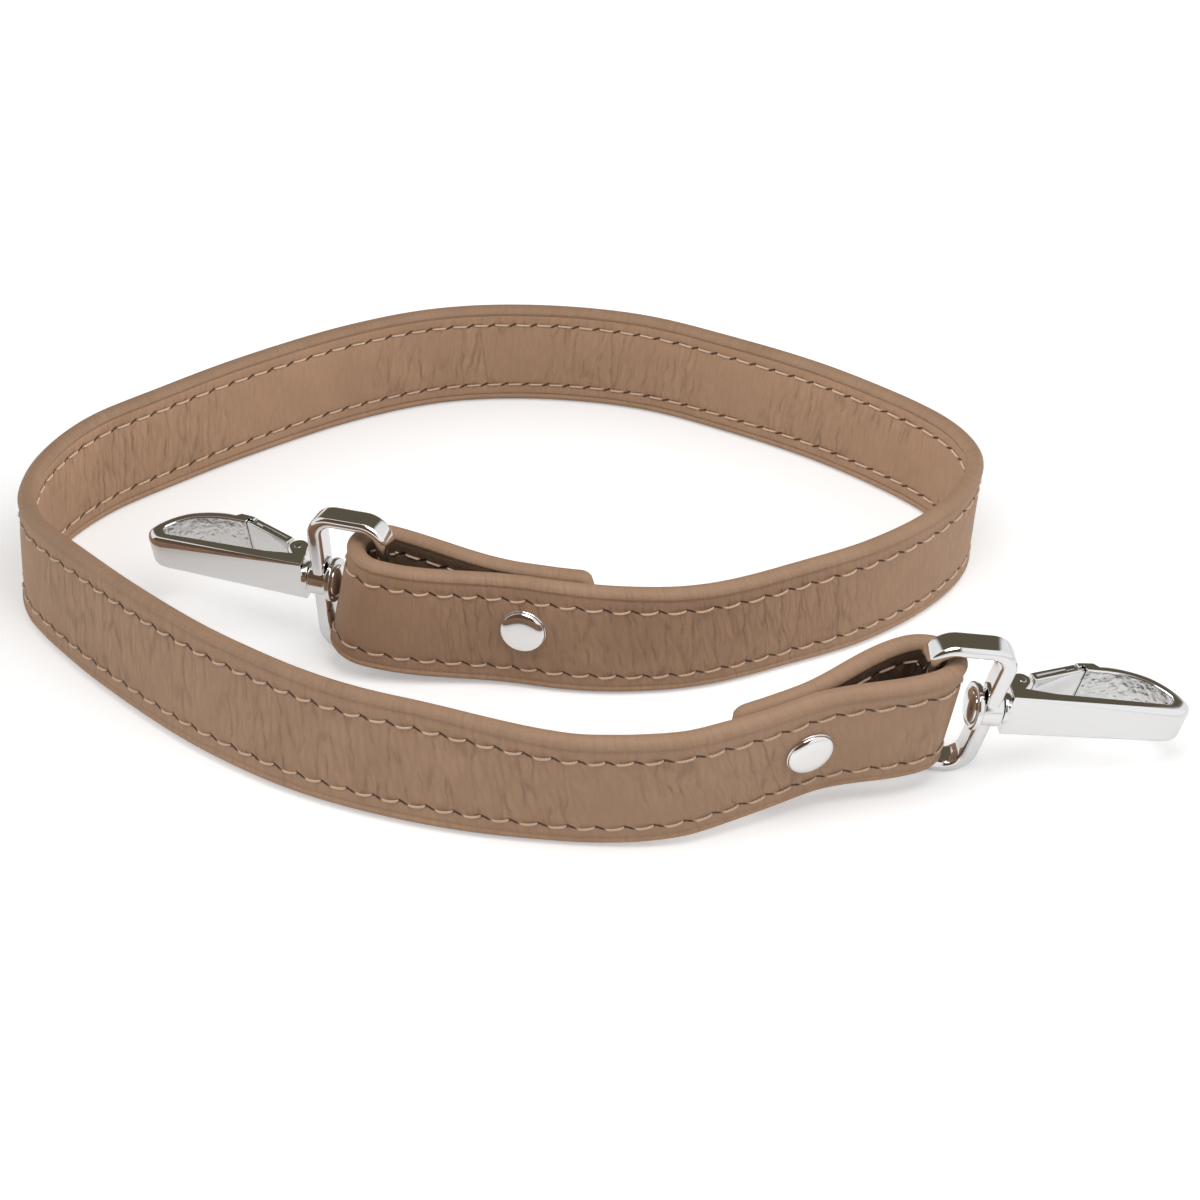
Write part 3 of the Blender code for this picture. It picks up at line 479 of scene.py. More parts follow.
def thread_material():
    """Waxed twisted thread.  The surface map counts shares along the stitch and round it."""
    made, shader, nodes = new_material("waxed_thread")
    place = nodes.add("ShaderNodeUVMap", uv_map="surface").outputs[0]
    along, around, _ = nodes.add("ShaderNodeSeparateXYZ", {0: place}).outputs
    turn = nodes.plus(nodes.times(along, THREAD_TWISTS), nodes.times(around, 2.0))
    ply = nodes.calc("ABSOLUTE", nodes.calc("SINE", nodes.times(turn, pi)))
    bump = nodes.add("ShaderNodeBump", {"Height": ply, "Strength": 0.8, "Distance": THREAD_PLY_DEPTH})
    # Painted shade and highlight: darker in the grooves between the plies, lighter on their crests.
    nodes.feed(shader, Base_Color=nodes.mix(nodes.spread(ply, 0.0, 0.5), *THREAD_SHADOW_AND_LIGHT_COLORS),
               Normal=bump.outputs[0])
    shader.inputs["Roughness"].default_value = 0.55
    return made


def metal_material(name, color, gloss, wave, scale=WAVE_SCALE):
    """Polished or brushed metal with uneven gloss and a faint waviness."""
    made, shader, nodes = new_material(name)
    place = nodes.add("ShaderNodeTexCoord").outputs["Object"]
    smears = nodes.noise(place, SMEAR_SCALE, 4.0)
    waves = nodes.noise(place, scale, 1.0)
    bump = nodes.add("ShaderNodeBump", {"Height": waves, "Strength": 0.5, "Distance": wave})
    nodes.feed(shader, Roughness=nodes.spread(smears, 0.35, 0.7, *gloss), Normal=bump.outputs[0])
    shader.inputs["Base Color"].default_value = (*color, 1)
    shader.inputs["Metallic"].default_value = 1.0
    return made


def core_material():
    made, shader, nodes = new_material("core_fibre")
    place = nodes.add("ShaderNodeTexCoord").outputs["Object"]
    nodes.feed(shader, Base_Color=nodes.mix(nodes.noise(place, CORE_SCALE, 5.0), *CORE_COLORS))
    shader.inputs["Roughness"].default_value = 0.9
    return made


LEATHER = leather_material("grained_leather", LEATHER_COLORS)
# Lining with painted shade inside the folds, and colours made a little lighter as painted light.
LINING = leather_material("lining_leather", LIT_LINING_COLORS, FOLD_SHADOWS)
THREAD = thread_material()
CHROME = metal_material("polished_chrome", CHROME_COLOR, CHROME_GLOSS, CHROME_WAVE)
CAST = metal_material("cast_chrome", CAST_COLOR, CAST_GLOSS, CAST_WAVE, CAST_SCALE)
STEEL = metal_material("satin_steel", STEEL_COLOR, STEEL_GLOSS, STEEL_WAVE)
CORE = core_material()


# Pieces

def solid_mesh(name, points, faces):
    """Closed mesh from points and faces, with its faces pointing out."""
    mesh = bpy.data.meshes.new(name)
    shape = bmesh.new()
    corners = [shape.verts.new(point) for point in points]
    for face in faces:
        shape.faces.new([corners[i] for i in face])
    bmesh.ops.recalc_face_normals(shape, faces=shape.faces)
    shape.to_mesh(mesh)
    shape.free()
    return mesh


def mesh_piece(name, shape, body, material, nodes, placement=None, sharp=40):
    """Smooth closed piece from (points, faces); edges over the sharp angle stay crisp."""
    mesh = solid_mesh(name, *shape)
    if placement:
        mesh.transform(placement)
    mesh.shade_smooth()
    mesh.set_sharp_from_angle(angle=radians(sharp))
    mesh.materials.append(material)
    piece = bpy.data.objects.new(name, mesh)
    bpy.context.scene.collection.objects.link(piece)
    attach(piece, body)
    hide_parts(*nodes)
    return piece


def mark_surface(piece, marks):
    """Surface map from one pair of numbers for each point of the mesh."""
    layer = piece.data.uv_layers.new(name="surface")
    spots = np.empty(len(piece.data.loops), dtype=np.int64)
    piece.data.loops.foreach_get("vertex_index", spots)
    layer.data.foreach_set("uv", np.asarray(marks, dtype=np.float32)[spots].ravel())


def axes(origin, x_axis, y_axis):
    made = Matrix((x_axis, y_axis, x_axis.cross(y_axis))).transposed().to_4x4()
    made.translation = origin
    return made


# Route of the strap

def spline_point(points, position):
    last = len(points) - 1
    index = min(int(position), last - 1)
    t = position - index
    a = points[index]
    b = points[index + 1]
    before = points[index - 1] if index > 0 else a * 2 - b
    after = points[index + 2] if index + 2 <= last else b * 2 - a
    slope_a = (b - before) / 2
    slope_b = (after - a) / 2
    return (a * (2 * t ** 3 - 3 * t ** 2 + 1) + slope_a * (t ** 3 - 2 * t ** 2 + t)
            + b * (3 * t ** 2 - 2 * t ** 3) + slope_b * (t ** 3 - t ** 2))


def distances_along(points):
    run = [0.0]
    for a, b in zip(points, points[1:]):
        run.append(run[-1] + (b - a).length)
    return run


def even_points(points, step):
    count = (len(points) - 1) * SPLINE_SAMPLES
    dense = [spline_point(points, i / SPLINE_SAMPLES) for i in range(count + 1)]
    run = distances_along(dense)
    parts = ceil(run[-1] / step)
    made = []
    index = 0
    for i in range(parts + 1):
        target = run[-1] * i / parts
        while index < len(run) - 2 and run[index + 1] < target:
            index += 1
        share = (target - run[index]) / (run[index + 1] - run[index])
        made.append(dense[index].lerp(dense[index + 1], share))
    return made


class Station:
    """One cross-section of the strap: the middle of its lower edge and its width's direction."""

    def __init__(self, foot, width):
        self.foot = foot
        self.width = width


def lean_at(share):
    position = share * (len(LEAN_DEGREES) - 1)
    index = min(int(position), len(LEAN_DEGREES) - 2)
    ease = (1 - cos(pi * (position - index))) / 2
    return radians(LEAN_DEGREES[index] * (1 - ease) + LEAN_DEGREES[index + 1] * ease)


def lift_at(end, distance):
    """Height of the lower edge over the floor, and its rise per length, from the fold's end inward."""
    reach = LIFT_REACH[end]
    if distance >= reach:
        return 0.0, 0.0
    t = distance / reach
    rise = tan(radians(END_RAKE_DEGREES[end])) * reach
    lift = END_LIFT[end] * (2 * t ** 3 - 3 * t ** 2 + 1) + rise * (t ** 3 - 2 * t ** 2 + t)
    slope = (END_LIFT[end] * (6 * t ** 2 - 6 * t) + rise * (3 * t ** 2 - 4 * t + 1)) / reach
    return lift, slope


def main_run():
    """Stations from the left rivet round the loop to the right one, with headings and distances."""
    shape = [Vector((x * LOOP_WIDTH, y * LOOP_DEPTH, 0)) for x, y in ROUTE_SHARES]
    coarse = even_points(shape, ROUTE_STEP)
    plan = even_points(coarse, SKIN_STEP)
    run = distances_along(plan)
    made = []
    for i, spot in enumerate(plan):
        travel = (plan[min(i + 1, len(plan) - 1)] - plan[max(i - 1, 0)]).normalized()
        left_lift, left_slope = lift_at(0, FOLD_LENGTH[0] + run[i])
        right_lift, right_slope = lift_at(1, FOLD_LENGTH[1] + run[-1] - run[i])
        lean = UP.cross(travel) * tan(lean_at(run[i] / run[-1]))
        width = (UP + lean - travel * (left_slope - right_slope)).normalized()
        foot = spot + UP * (EDGE_RADIUS + left_lift + right_lift)
        made.append((Station(foot, width), travel, run[i]))
    first = (coarse[1] - coarse[0]).normalized()
    last = (coarse[-1] - coarse[-2]).normalized()
    made[0] = (made[0][0], first, made[0][2])
    made[-1] = (made[-1][0], last, made[-1][2])
    return made


class Fold:
    """The folded end of the strap beyond one rivet; 'along' counts from the rivet to the end."""

    def __init__(self, end, run):
        self.end = end
        self.length = FOLD_LENGTH[end]
        self.bend = (FOLD_OPENING[end] - STRAP_THICKNESS) / 2
        self.straight = self.length - EDGE_RADIUS - self.bend
        self.run = run if end == 0 else run[::-1]
        self.rivet, travel, self.start = self.run[0]
        self.out = -travel if end == 0 else travel
        self.inward = UP.cross(travel)
        self.lean = lean_at(end)
        self.side = (self.inward - UP * tan(self.lean)).normalized()

    def station(self, along, across, turn):
        lift, slope = lift_at(self.end, self.length - along)
        base = self.rivet.foot + UP * (lift - lift_at(self.end, self.length)[0])
        foot = base + self.out * along + self.side * (across + LAYER_SPACING / 2)
        foot -= UP * FOLD_DROP[self.end] * turn
        width = (UP + self.inward * tan(self.lean) + self.out * slope).normalized()
        return Station(foot, width)

    def layer(self, side):
        made = []
        for i in range(1, FOLD_STEPS + 1):
            ease = (1 - cos(pi * i / FOLD_STEPS)) / 2
            opening = LAYER_SPACING / 2 + (self.bend - LAYER_SPACING / 2) * ease
            made.append(self.station(self.straight * i / FOLD_STEPS, side * opening, (1 + side) / 2))
        return made

    def round_end(self):
        made = []
        for i in range(1, ROUND_STEPS):
            angle = pi * i / ROUND_STEPS
            along = self.straight + self.bend * sin(angle)
            made.append(self.station(along, -self.bend * cos(angle), (1 - cos(angle)) / 2))
        return made

    def tail(self):
        length = TAIL_LENGTH[self.end]
        count = ceil(length / SKIN_STEP)
        return [self.tail_station(length * (count - i) / count) for i in range(1, count + 1)]

    def tail_station(self, margin):
        distance = TAIL_LENGTH[self.end] - margin
        for (a, travel_a, run_a), (b, travel_b, run_b) in zip(self.run, self.run[1:]):
            if abs(run_b - self.start) >= distance:
                break
        share = (distance - abs(run_a - self.start)) / abs(run_b - run_a)
        width = a.width.lerp(b.width, share).normalized()
        inner = width.cross(travel_a.lerp(travel_b, share)).normalized()
        foot = a.foot.lerp(b.foot, share) + inner * LAYER_SPACING - UP * FOLD_DROP[self.end]
        return Station(foot, width)

    def stations(self):
        return self.layer(-1) + self.round_end() + self.layer(1)[::-1] + self.tail()


class Strap:
    """The strap's middle line from cut end to cut end, sampled evenly, as arrays."""

    def __init__(self):
        run = main_run()
        self.folds = [Fold(end, run) for end in (0, 1)]
        left, right = (fold.stations() for fold in self.folds)
        stations = left[::-1] + [station for station, _, _ in run] + right
        feet = np.array([station.foot for station in stations])
        gaps = np.linalg.norm(np.diff(feet, axis=0), axis=1)
        places = np.concatenate(([0.0], np.cumsum(gaps)))
        self.length = places[-1]
        count = ceil(self.length / SKIN_STEP)
        self.places = np.linspace(0.0, self.length, count + 1)
        self.feet = self.resampled(places, feet)
        widths = self.resampled(places, np.array([station.width for station in stations]))
        self.widths = self.smooth(widths, 4)
        self.feet = self.smooth(self.feet, 3)
        ahead = np.gradient(self.feet, axis=0)
        inner = np.cross(self.widths, ahead)
        self.inner = inner / np.linalg.norm(inner, axis=1)[:, None]
        self.margins = np.minimum(self.places, self.length - self.places)
        low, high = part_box("strap_outer_leather")
        edge = self.points(0.0, BEAD_CENTRE)
        both = np.concatenate((edge, self.points(0.0, -BEAD_CENTRE)))
        middle = (both.min(axis=0) + both.max(axis=0)) / 2
        shift = (np.array(low) + np.array(high)) / 2 - middle
        shift[2] = low[2] - self.feet[:, 2].min() + EDGE_RADIUS
        self.feet += shift
        self.shift = Vector(shift)

    def resampled(self, places, values):
        return np.stack([np.interp(self.places, places, values[:, k]) for k in range(3)], axis=1)

    @staticmethod
    def smooth(values, rounds):
        for _ in range(rounds):
            inner = (values[:-2] + 2 * values[1:-1] + values[2:]) / 4
            values = np.concatenate((values[:1], inner, values[-1:]))
        return values

    def points(self, depth, height, places=None):
        """Points at depths towards the inner side and heights over the middle, at places along the strap."""
        if places is None:
            feet, widths, inner, margins = self.feet, self.widths, self.inner, self.margins
        else:
            feet, widths, inner = (np.stack([np.interp(places, self.places, values[:, k]) for k in range(3)],
                                            axis=-1) for values in (self.feet, self.widths, self.inner))
            margins = np.minimum(places, self.length - places)
        over = np.clip(TAIL_CORNER - margins, 0.0, TAIL_CORNER)
        narrowing = TAIL_CORNER - np.sqrt(TAIL_CORNER ** 2 - over ** 2)
        height = height - np.sign(height) * narrowing * np.abs(height) / (STRAP_WIDTH / 2)
        thinning = 1 - 0.45 * np.exp(-margins / (TAIL_SOFTNESS / 2))
        depth = depth * thinning
        middle = feet + widths * BEAD_CENTRE
        return middle + inner * np.asarray(depth)[..., None] + widths * np.asarray(height)[..., None]


# Leather

def face_depth(height):
    """Depth of a leather face at a height: a soft panel, a dip along each seam and a creased bead."""
    high = abs(height)
    panel = FACE - SEAM_DIP * np.exp(-((high - SEAM_HEIGHT) / SEAM_DIP_WIDTH) ** 2)
    panel += 0.05 * MM * cos(min(high / SEAM_HEIGHT, 1.0) * pi / 2)
    crease = CREASE_DEPTH * np.exp(-((high - CREASE_HEIGHT) / CREASE_WIDTH) ** 2)
    over = high - BEAD_CENTRE
    bead = sqrt(max(EDGE_RADIUS ** 2 - max(over, 0.0) ** 2, 0.0))
    blend = min(max((high - CREASE_HEIGHT) / (0.45 * MM), 0.0), 1.0)
    blend = blend * blend * (3 - 2 * blend)
    return panel * (1 - blend) + bead * blend - crease


def face_heights():
    """Heights across one face from the lower bead to the upper one, closer together at the seams."""
    half = [0.0, 1.2, 2.4, 3.6, 4.6, 5.2, 5.6, 5.9, 6.15, 6.4, 6.65, 6.9, 7.2, 7.6, 8.0, 8.2, 8.32, 8.42,
            8.5, 8.58, 8.68, 8.8, 8.95, 9.15, 9.4, 9.65, 9.85, 9.96]
    upper = [value * MM for value in half]
    return [-value for value in upper[:0:-1]] + upper


def skin_relief(place, height, side):
    """Unevenness of the leather in metres, inward where negative."""
    along = place / MM
    over = height / MM
    swell = noise.noise(Vector((along * 0.055, over * 0.09, side * 7.0)))
    warp = noise.noise(Vector((along * 0.11, over * 0.13, 3.0 + side))) * 2.2
    line = noise.noise(Vector((along * 0.42 + warp + over * 0.10, over * 0.075, 11.0 * side)))
    patch = noise.noise(Vector((along * 0.03, over * 0.02, 23.0 + side))) + 0.55
    crease = -max(0.0, 1 - abs(line) / 0.13) ** 1.5 * min(max(patch, 0.0), 1.0)
    calm = min(max((8.0 - abs(over)) / 1.6, 0.0), 1.0)
    return SWELL_DEPTH * swell * (0.35 + 0.65 * calm) + WRINKLE_DEPTH * crease * calm


def swept_skin(name, strap, section, sides, material, nodes, offset):
    """Skin along the whole strap over a closed section of (depth, height) pairs.

    The sides tell which points carry the leather's relief, outward (-1 or 1) or not at all (0).
    The offset, in millimetres, gives each skin its own part of the surface map.
    """
    count = len(strap.places)
    size = len(section)
    columns = []
    for (depth, height), side in zip(section, sides):
        relief = np.zeros(count)
        if side:
            relief = np.array([skin_relief(place, height, side) for place in strap.places])
        columns.append(strap.points(depth + side * relief, height + 0 * relief))
    grid = np.stack(columns, axis=1).reshape(-1, 3)
    faces = []
    for i in range(count - 1):
        low = i * size
        faces += [(low + j, low + (j + 1) % size, low + size + (j + 1) % size, low + size + j)
                  for j in range(size)]
    faces.append(tuple(range(size))[::-1])
    faces.append(tuple(range((count - 1) * size, count * size)))
    shape = ([Vector(point) for point in grid], faces)
    piece = mesh_piece(name, shape, "strap", material, nodes, sharp=60)
    heights = [height / MM + offset for _, height in section]
    mark_surface(piece, np.stack((np.repeat(strap.places / MM, size), np.tile(heights, count)), axis=1))


def add_leather(strap):
    heights = face_heights()
    outer = [(-face_depth(height), height) for height in heights]
    top = [(EDGE_RADIUS * sin(angle), BEAD_CENTRE + EDGE_RADIUS * cos(angle))
           for angle in (-0.35, -0.12, 0.12, 0.35)]
    rim = [height for height in heights if height >= LINING_HALF]
    inner_top = [(face_depth(height), height) for height in rim[::-1]]
    step = [(LINING_BACK, LINING_HALF), (LINING_BACK, -LINING_HALF)]
    inner_bottom = [(depth, -height) for depth, height in inner_top[::-1]]
    bottom = [(depth, -height) for depth, height in top[::-1]]
    section = outer + top + inner_top + step + inner_bottom + bottom
    sides = [-1] * len(outer) + [0] * len(top) + [1] * len(inner_top) + [0, 0] + [1] * len(inner_bottom)
    sides += [0] * len(bottom)
    swept_skin("outer_leather", strap, section, sides, LEATHER, ["strap_outer_leather"], 0.0)
    panel = [height for height in heights if abs(height) < LINING_HALF]
    cut = LINING_HALF - LINING_GAP
    edge = [(LINING_BACK + LINING_LIFT, cut), (FACE - CREASE_DEPTH, cut)]
    face = [(face_depth(height), height) for height in panel]
    lining = edge + face[::-1] + [(depth, -height) for depth, height in edge[::-1]]
    sides = [0, 0] + [1] * len(face) + [0, 0]
    swept_skin("lining_leather", strap, lining, sides, LINING, ["strap_lining"], 2 * SURFACE_WRAP)


# Stitches

def stitch_path(side):
    """Stitch from one hole to just before the next: shares, rises over the seam, depths under the face."""
    path = []
    for i in range(THREAD_STEPS + 1):
        t = i / THREAD_STEPS
        if side < 0:
            rise = -0.30 * MM - 0.10 * MM * sin(pi * t) + 0.42 * MM * t ** 2.2
        else:
            rise = -0.06 * MM + 0.10 * MM * t
        hug = THREAD_RADIUS * (0.25 + 0.75 * min(1.0, sin(pi * t) * 1.9))
        path.append((t, rise, hug - 0.10 * MM * (1 - sin(pi * t)) ** 6))
    return np.array(path).T


def add_stitches(strap, row, phase, side, name, node):
    """All stitches of one row on the outer (-1) or the inner (1) face, as small closed twisted tubes."""
    t, rises, hugs = stitch_path(side)
    start = THREAD_START if side < 0 else THREAD_START * 0.85
    first = ceil((TAIL_CORNER * 0.8) / STITCH_PITCH - phase)
    last = int((strap.length - TAIL_CORNER * 0.8) / STITCH_PITCH - phase)
    surface = face_depth(SEAM_HEIGHT)
    tapers = [min(1.0, 0.35 + 1.3 * sin(pi * (0.08 + 0.84 * share))) for share in t]
    turns = [2 * pi * j / THREAD_SIDES for j in range(THREAD_SIDES)]
    points = []
    faces = []
    marks = []
    for k in range(first, last):
        jitter = noise.noise(Vector((k * 3.7, row * 5.0, side * 9.0)))
        places = (k + phase) * STITCH_PITCH + start + (STITCH_PITCH - start - THREAD_END) * t
        slack = 1 + 0.35 * jitter if side < 0 else row * (1 + 0.5 * jitter)
        level = row * SEAM_HEIGHT + rises * slack + 0.05 * MM * jitter
        centre = strap.points(side * (surface + hugs), level, places)
        ahead = np.gradient(centre, axis=0)
        ahead /= np.linalg.norm(ahead, axis=1)[:, None]
        out = strap.points(side * (surface + hugs + MM), level, places) - centre
        out /= np.linalg.norm(out, axis=1)[:, None]
        across = np.cross(ahead, out)
        low = len(points)
        for i, taper in enumerate(tapers):
            for j, angle in enumerate(turns):
                spot = centre[i] + (out[i] * cos(angle) + across[i] * sin(angle)) * THREAD_RADIUS * taper
                points.append(Vector(spot))
                marks.append((t[i], j / THREAD_SIDES))
        for i in range(THREAD_STEPS):
            a = low + i * THREAD_SIDES
            for j in range(THREAD_SIDES):
                b = (j + 1) % THREAD_SIDES
                faces.append((a + j, a + b, a + THREAD_SIDES + b, a + THREAD_SIDES + j))
        faces.append(tuple(range(low, low + THREAD_SIDES))[::-1])
        faces.append(tuple(range(len(points) - THREAD_SIDES, len(points))))
    mark_surface(mesh_piece(name, (points, faces), "strap", THREAD, [node], sharp=80), marks)


# Turned pieces

def turned(profile, sides=64):
    """Solid turned about the X axis from (x, radius) pairs that start and end on the axis."""
    points = []
    rings = []
    for x, radius in profile:
        first = len(points)
        count = sides if radius > 0 else 1
        points += [Vector((x, radius * cos(2 * pi * i / sides), radius * sin(2 * pi * i / sides)))
                   for i in range(count)]
        rings.append([first + i % count for i in range(sides)])
    faces = []
    for a, b in zip(rings, rings[1:]):
        for i in range(sides):
            j = (i + 1) % sides
            face = tuple(dict.fromkeys((a[i], b[i], b[j], a[j])))
            if len(face) > 2:
                faces.append(face)
    return points, faces


def rounded(profile, radius, steps=4):
    """Profile with its inner corners rounded."""
    made = [Vector(profile[0])]
    for before, corner, after in zip(profile, profile[1:], profile[2:]):
        before, corner, after = Vector(before), Vector(corner), Vector(after)
        cut = min(radius, (before - corner).length * 0.45, (after - corner).length * 0.45)
        a = corner + (before - corner).normalized() * cut
        b = corner + (after - corner).normalized() * cut
        for i in range(steps + 1):
            t = i / steps
            made.append(a * (1 - t) ** 2 + corner * 2 * t * (1 - t) + b * t ** 2)
    made.append(Vector(profile[-1]))
    return [(spot.x, max(spot.y, 0.0)) for spot in made]


def dome(edge, height, radius, steps=14, fullness=2.0):
    """Profile of a dome; a fullness above two gives it a flatter middle and a rounder rim."""
    shares = [sin(pi / 2 * i / steps) for i in range(steps)] + [1.0]
    return [(edge + height * sqrt(1 - share ** fullness), radius * share) for share in shares]


def rivet_profile(side, crown, radius, rim, steps=14, fullness=2.0):
    """Profile of a rivet's head from its crown over the rim to a foot sunk in the leather."""
    seat = LAYER_SPACING / 2 + RIVET_SEAT
    profile = dome(side * (seat + CAP_RIM), side * crown, radius - HEAD_INSET, steps, fullness)
    profile += [(side * (seat + CAP_RIM * share), radius - inset) for share, inset in rim]
    foot = side * (seat - HEAD_FOOT)
    return profile + [(side * (seat - HEAD_TUCK), radius - HEAD_TUCK), (foot, radius / 2), (foot, 0)]


def add_rivets(strap):
    cap = rivet_profile(1, CAP_DOME, CAP_DIAMETER / 2, ((0.75, 0.02 * MM), (0.4, 0.0)), 20, CAP_FULLNESS)
    stud = rivet_profile(-1, STUD_DOME, STUD_DIAMETER / 2, ((0.5, 0.0),))
    for end, name in enumerate(ENDS):
        fold = strap.folds[end]
        width = fold.rivet.width
        centre = fold.rivet.foot + strap.shift + width * (BEAD_CENTRE + RIVET_RISE[end])
        placement = axes(centre + fold.side * LAYER_SPACING / 2, -fold.side, fold.side.cross(width))
        for piece, part, profile in (("cap", "dome", cap), ("stud", "head", stud)):
            mesh_piece(f"rivet_{piece}_{name}_{part}", turned(profile), "strap", CHROME,
                       [f"rivet_{piece}_{name}"], placement)


# Rings

def joint(name):
    return next(entry for entry in frame["joints"] if entry["name"] == name)


def arc(radius, degrees, sides):
    start, stop = (radians(angle) for angle in degrees)
    turns = [start + (stop - start) * i / sides for i in range(sides + 1)]
    return [Vector((radius * cos(angle), radius * sin(angle))) for angle in turns]


def rounded_rectangle(low, high, half_height, radius, sides=10):
    points = []
    corners = ((high, -1, -90), (high, 1, 0), (low, 1, 90), (low, -1, 180))
    for x, side, start in corners:
        inset = radius if x == low else -radius
        centre = Vector((x + inset, side * (half_height - radius)))
        points += [centre + spot for spot in arc(radius, (start, start + 90), sides)]
    return points


def ring_shape():
    """Oblong frame whose edges are rounded, seen from the bar's axis."""
    start = -RING_BAR / 2
    end = RING_BAR / 2 + RING_WINDOW + RING_HUB_BAR
    window = (STRAP_WIDTH + RING_PLAY) / 2
    half = RING_DEPTH / 2

    def level(bevel, depth):
        outer = rounded_rectangle(start + bevel, end - bevel, window + RING_BAR - bevel, RING_CORNER - bevel)
        inner = rounded_rectangle(RING_BAR / 2 - bevel, RING_BAR / 2 + RING_WINDOW + bevel, window + bevel,
                                  RING_CORNER - RING_BAR + bevel)
        return outer, inner, depth

    turns = [pi / 2 * i / 5 for i in range(6)]
    shape = [(RING_BEVEL * (1 - cos(turn)), half - RING_BEVEL * (1 - sin(turn))) for turn in turns]
    levels = [level(bevel, depth) for bevel, depth in shape]
    sequence = [(outer, -depth) for outer, _, depth in levels[::-1]]
    sequence += [(outer, depth) for outer, _, depth in levels]
    sequence += [(inner, depth) for _, inner, depth in levels[::-1]]
    sequence += [(inner, -depth) for _, inner, depth in levels]
    size = len(levels[0][0])
    points = [Vector((spot.x, depth, spot.y)) for outline, depth in sequence for spot in outline]
    faces = []
    for i in range(len(sequence)):
        low = i * size
        high = (i + 1) % len(sequence) * size
        for j in range(size):
            k = (j + 1) % size
            faces.append((low + j, low + k, high + k, high + j))
    return points, faces


def hook_frame(end):
    """Frames of the ring and of the hook at one end, from the model's joints."""
    swing = joint(f"ring_swing_{end}")
    swivel = joint(f"hook_swivel_{end}")
    gate = joint(f"gate_open_{end}")
    hub = Vector(swivel["axis"]).normalized()
    along = Vector(swing["axis"]).normalized()
    ring = axes(Vector(swing["pos_m"]), hub, along.cross(hub))
    up = -Vector(gate["axis"]).normalized()
    hook = axes(Vector(swivel["pos_m"]), hub, up.cross(hub))
    return ring, hook


def add_ring(end, ring, hook):
    body = f"ring_{end}"
    node = f"swivel_ring_{end}"
    mesh_piece(f"ring_{end}_frame", ring_shape(), body, CHROME, [node], ring, sharp=50)
    start = RING_BAR / 2 + RING_WINDOW
    stop = start + RING_HUB_BAR + HUB_REACH
    hub = rounded([(start, 0), (start, HUB_DIAMETER / 2), (stop, HUB_DIAMETER / 2), (stop, 0)], HUB_BEVEL)
    mesh_piece(f"ring_{end}_hub", turned(hub), body, CHROME, [node], ring)
    head = -(BOSS_LENGTH + HUB_REACH + RING_HUB_BAR + 2 * SEAT_GAP)
    collar = head - PIN_COLLAR_THICKNESS
    profile = dome(collar, -PIN_DOME_HEIGHT, PIN_DOME / 2)
    rest = [(collar, PIN_DOME / 2), (collar + 0.12 * MM, PIN_DOME / 2 + 0.25 * MM),
            (collar, PIN_DOME / 2 + 0.5 * MM), (collar, PIN_COLLAR / 2), (head, PIN_COLLAR / 2),
            (head, PIN_SHANK / 2), (0.0, PIN_SHANK / 2), (0.0, 0.0)]
    pin = turned(profile[:-1] + rounded(rest, 0.3 * MM))
    mesh_piece(f"swivel_pin_{end}_head", pin, f"hook_{end}", CHROME, [f"swivel_pin_{end}"], hook)


# Hooks

HINGE = Vector((GATE_HINGE_X, GATE_HINGE_DEPTH - HOOK_FACE_SETBACK, 0))
GATE_FRAME = Matrix.Translation(HINGE) @ Matrix.Rotation(GATE_RISE, 4, "Z")


def hook_half_width(x):
    return (HOOK_WIDTH + (HOOK_TIP_WIDTH - HOOK_WIDTH) * x / HOOK_LENGTH) / 2


def from_front(x, depth):
    return Vector((x, depth - HOOK_FACE_SETBACK))


def by_gate(reach, outside):
    return (GATE_FRAME @ Vector((reach, outside, 0))).xy


def smooth_run(points, steps):
    """Points on a smooth curve through the given ones."""
    made = []
    for i in range(len(points) - 1):
        made += [spline_point(points, i + k / steps) for k in range(steps)]
    return made + [points[-1]]


def hook_outline():
    """Plan of a hook with the bevel at each point: front, round tip, nose, eye, and the hinge's ears."""
    nose_end = GATE_LENGTH + NOSE_GAP
    outside = [from_front(0, 0)]
    outside += smooth_run([from_front(x * HOOK_LENGTH, y * HOOK_DEPTH) for x, y in HOOK_TIP_SHARES], 4)
    outside.append(by_gate(nose_end, GATE_OUTSIDE))
    eye = [from_front(x * HOOK_LENGTH, y * HOOK_DEPTH) for x, y in HOOK_EYE_SHARES]
    eye.append(from_front(EYE_FLOOR_SHARE * HOOK_LENGTH, HOOK_WALL))
    inside = [by_gate(nose_end, -GATE_INSIDE)] + smooth_run(eye, 4)
    inside.append(from_front(GATE_HINGE_X + SHOULDER_REACH, HOOK_WALL))
    ear = [HINGE.xy + spot for spot in arc(EAR_RADIUS, EAR_ARC_DEGREES, 24)]
    bevels = [HOOK_OUTER_BEVEL] * (len(outside) - 4) + [HOOK_EYE_BEVEL] * (len(inside) + 4)
    bevels += [HOOK_EAR_BEVEL] * len(ear) + [HOOK_EYE_BEVEL]
    bevels[0] = HOOK_EYE_BEVEL
    return outside + inside + ear + [from_front(0, HOOK_BASE_DEPTH)], bevels


def inset_outline(outline, distances):
    made = []
    for i, (corner, distance) in enumerate(zip(outline, distances)):
        before = (corner - outline[i - 1]).normalized()
        after = (outline[(i + 1) % len(outline)] - corner).normalized()
        left = Vector((-after.y, after.x))
        middle = (Vector((-before.y, before.x)) + left).normalized()
        made.append(corner + middle * distance / max(middle.dot(left), 0.5))
    return made


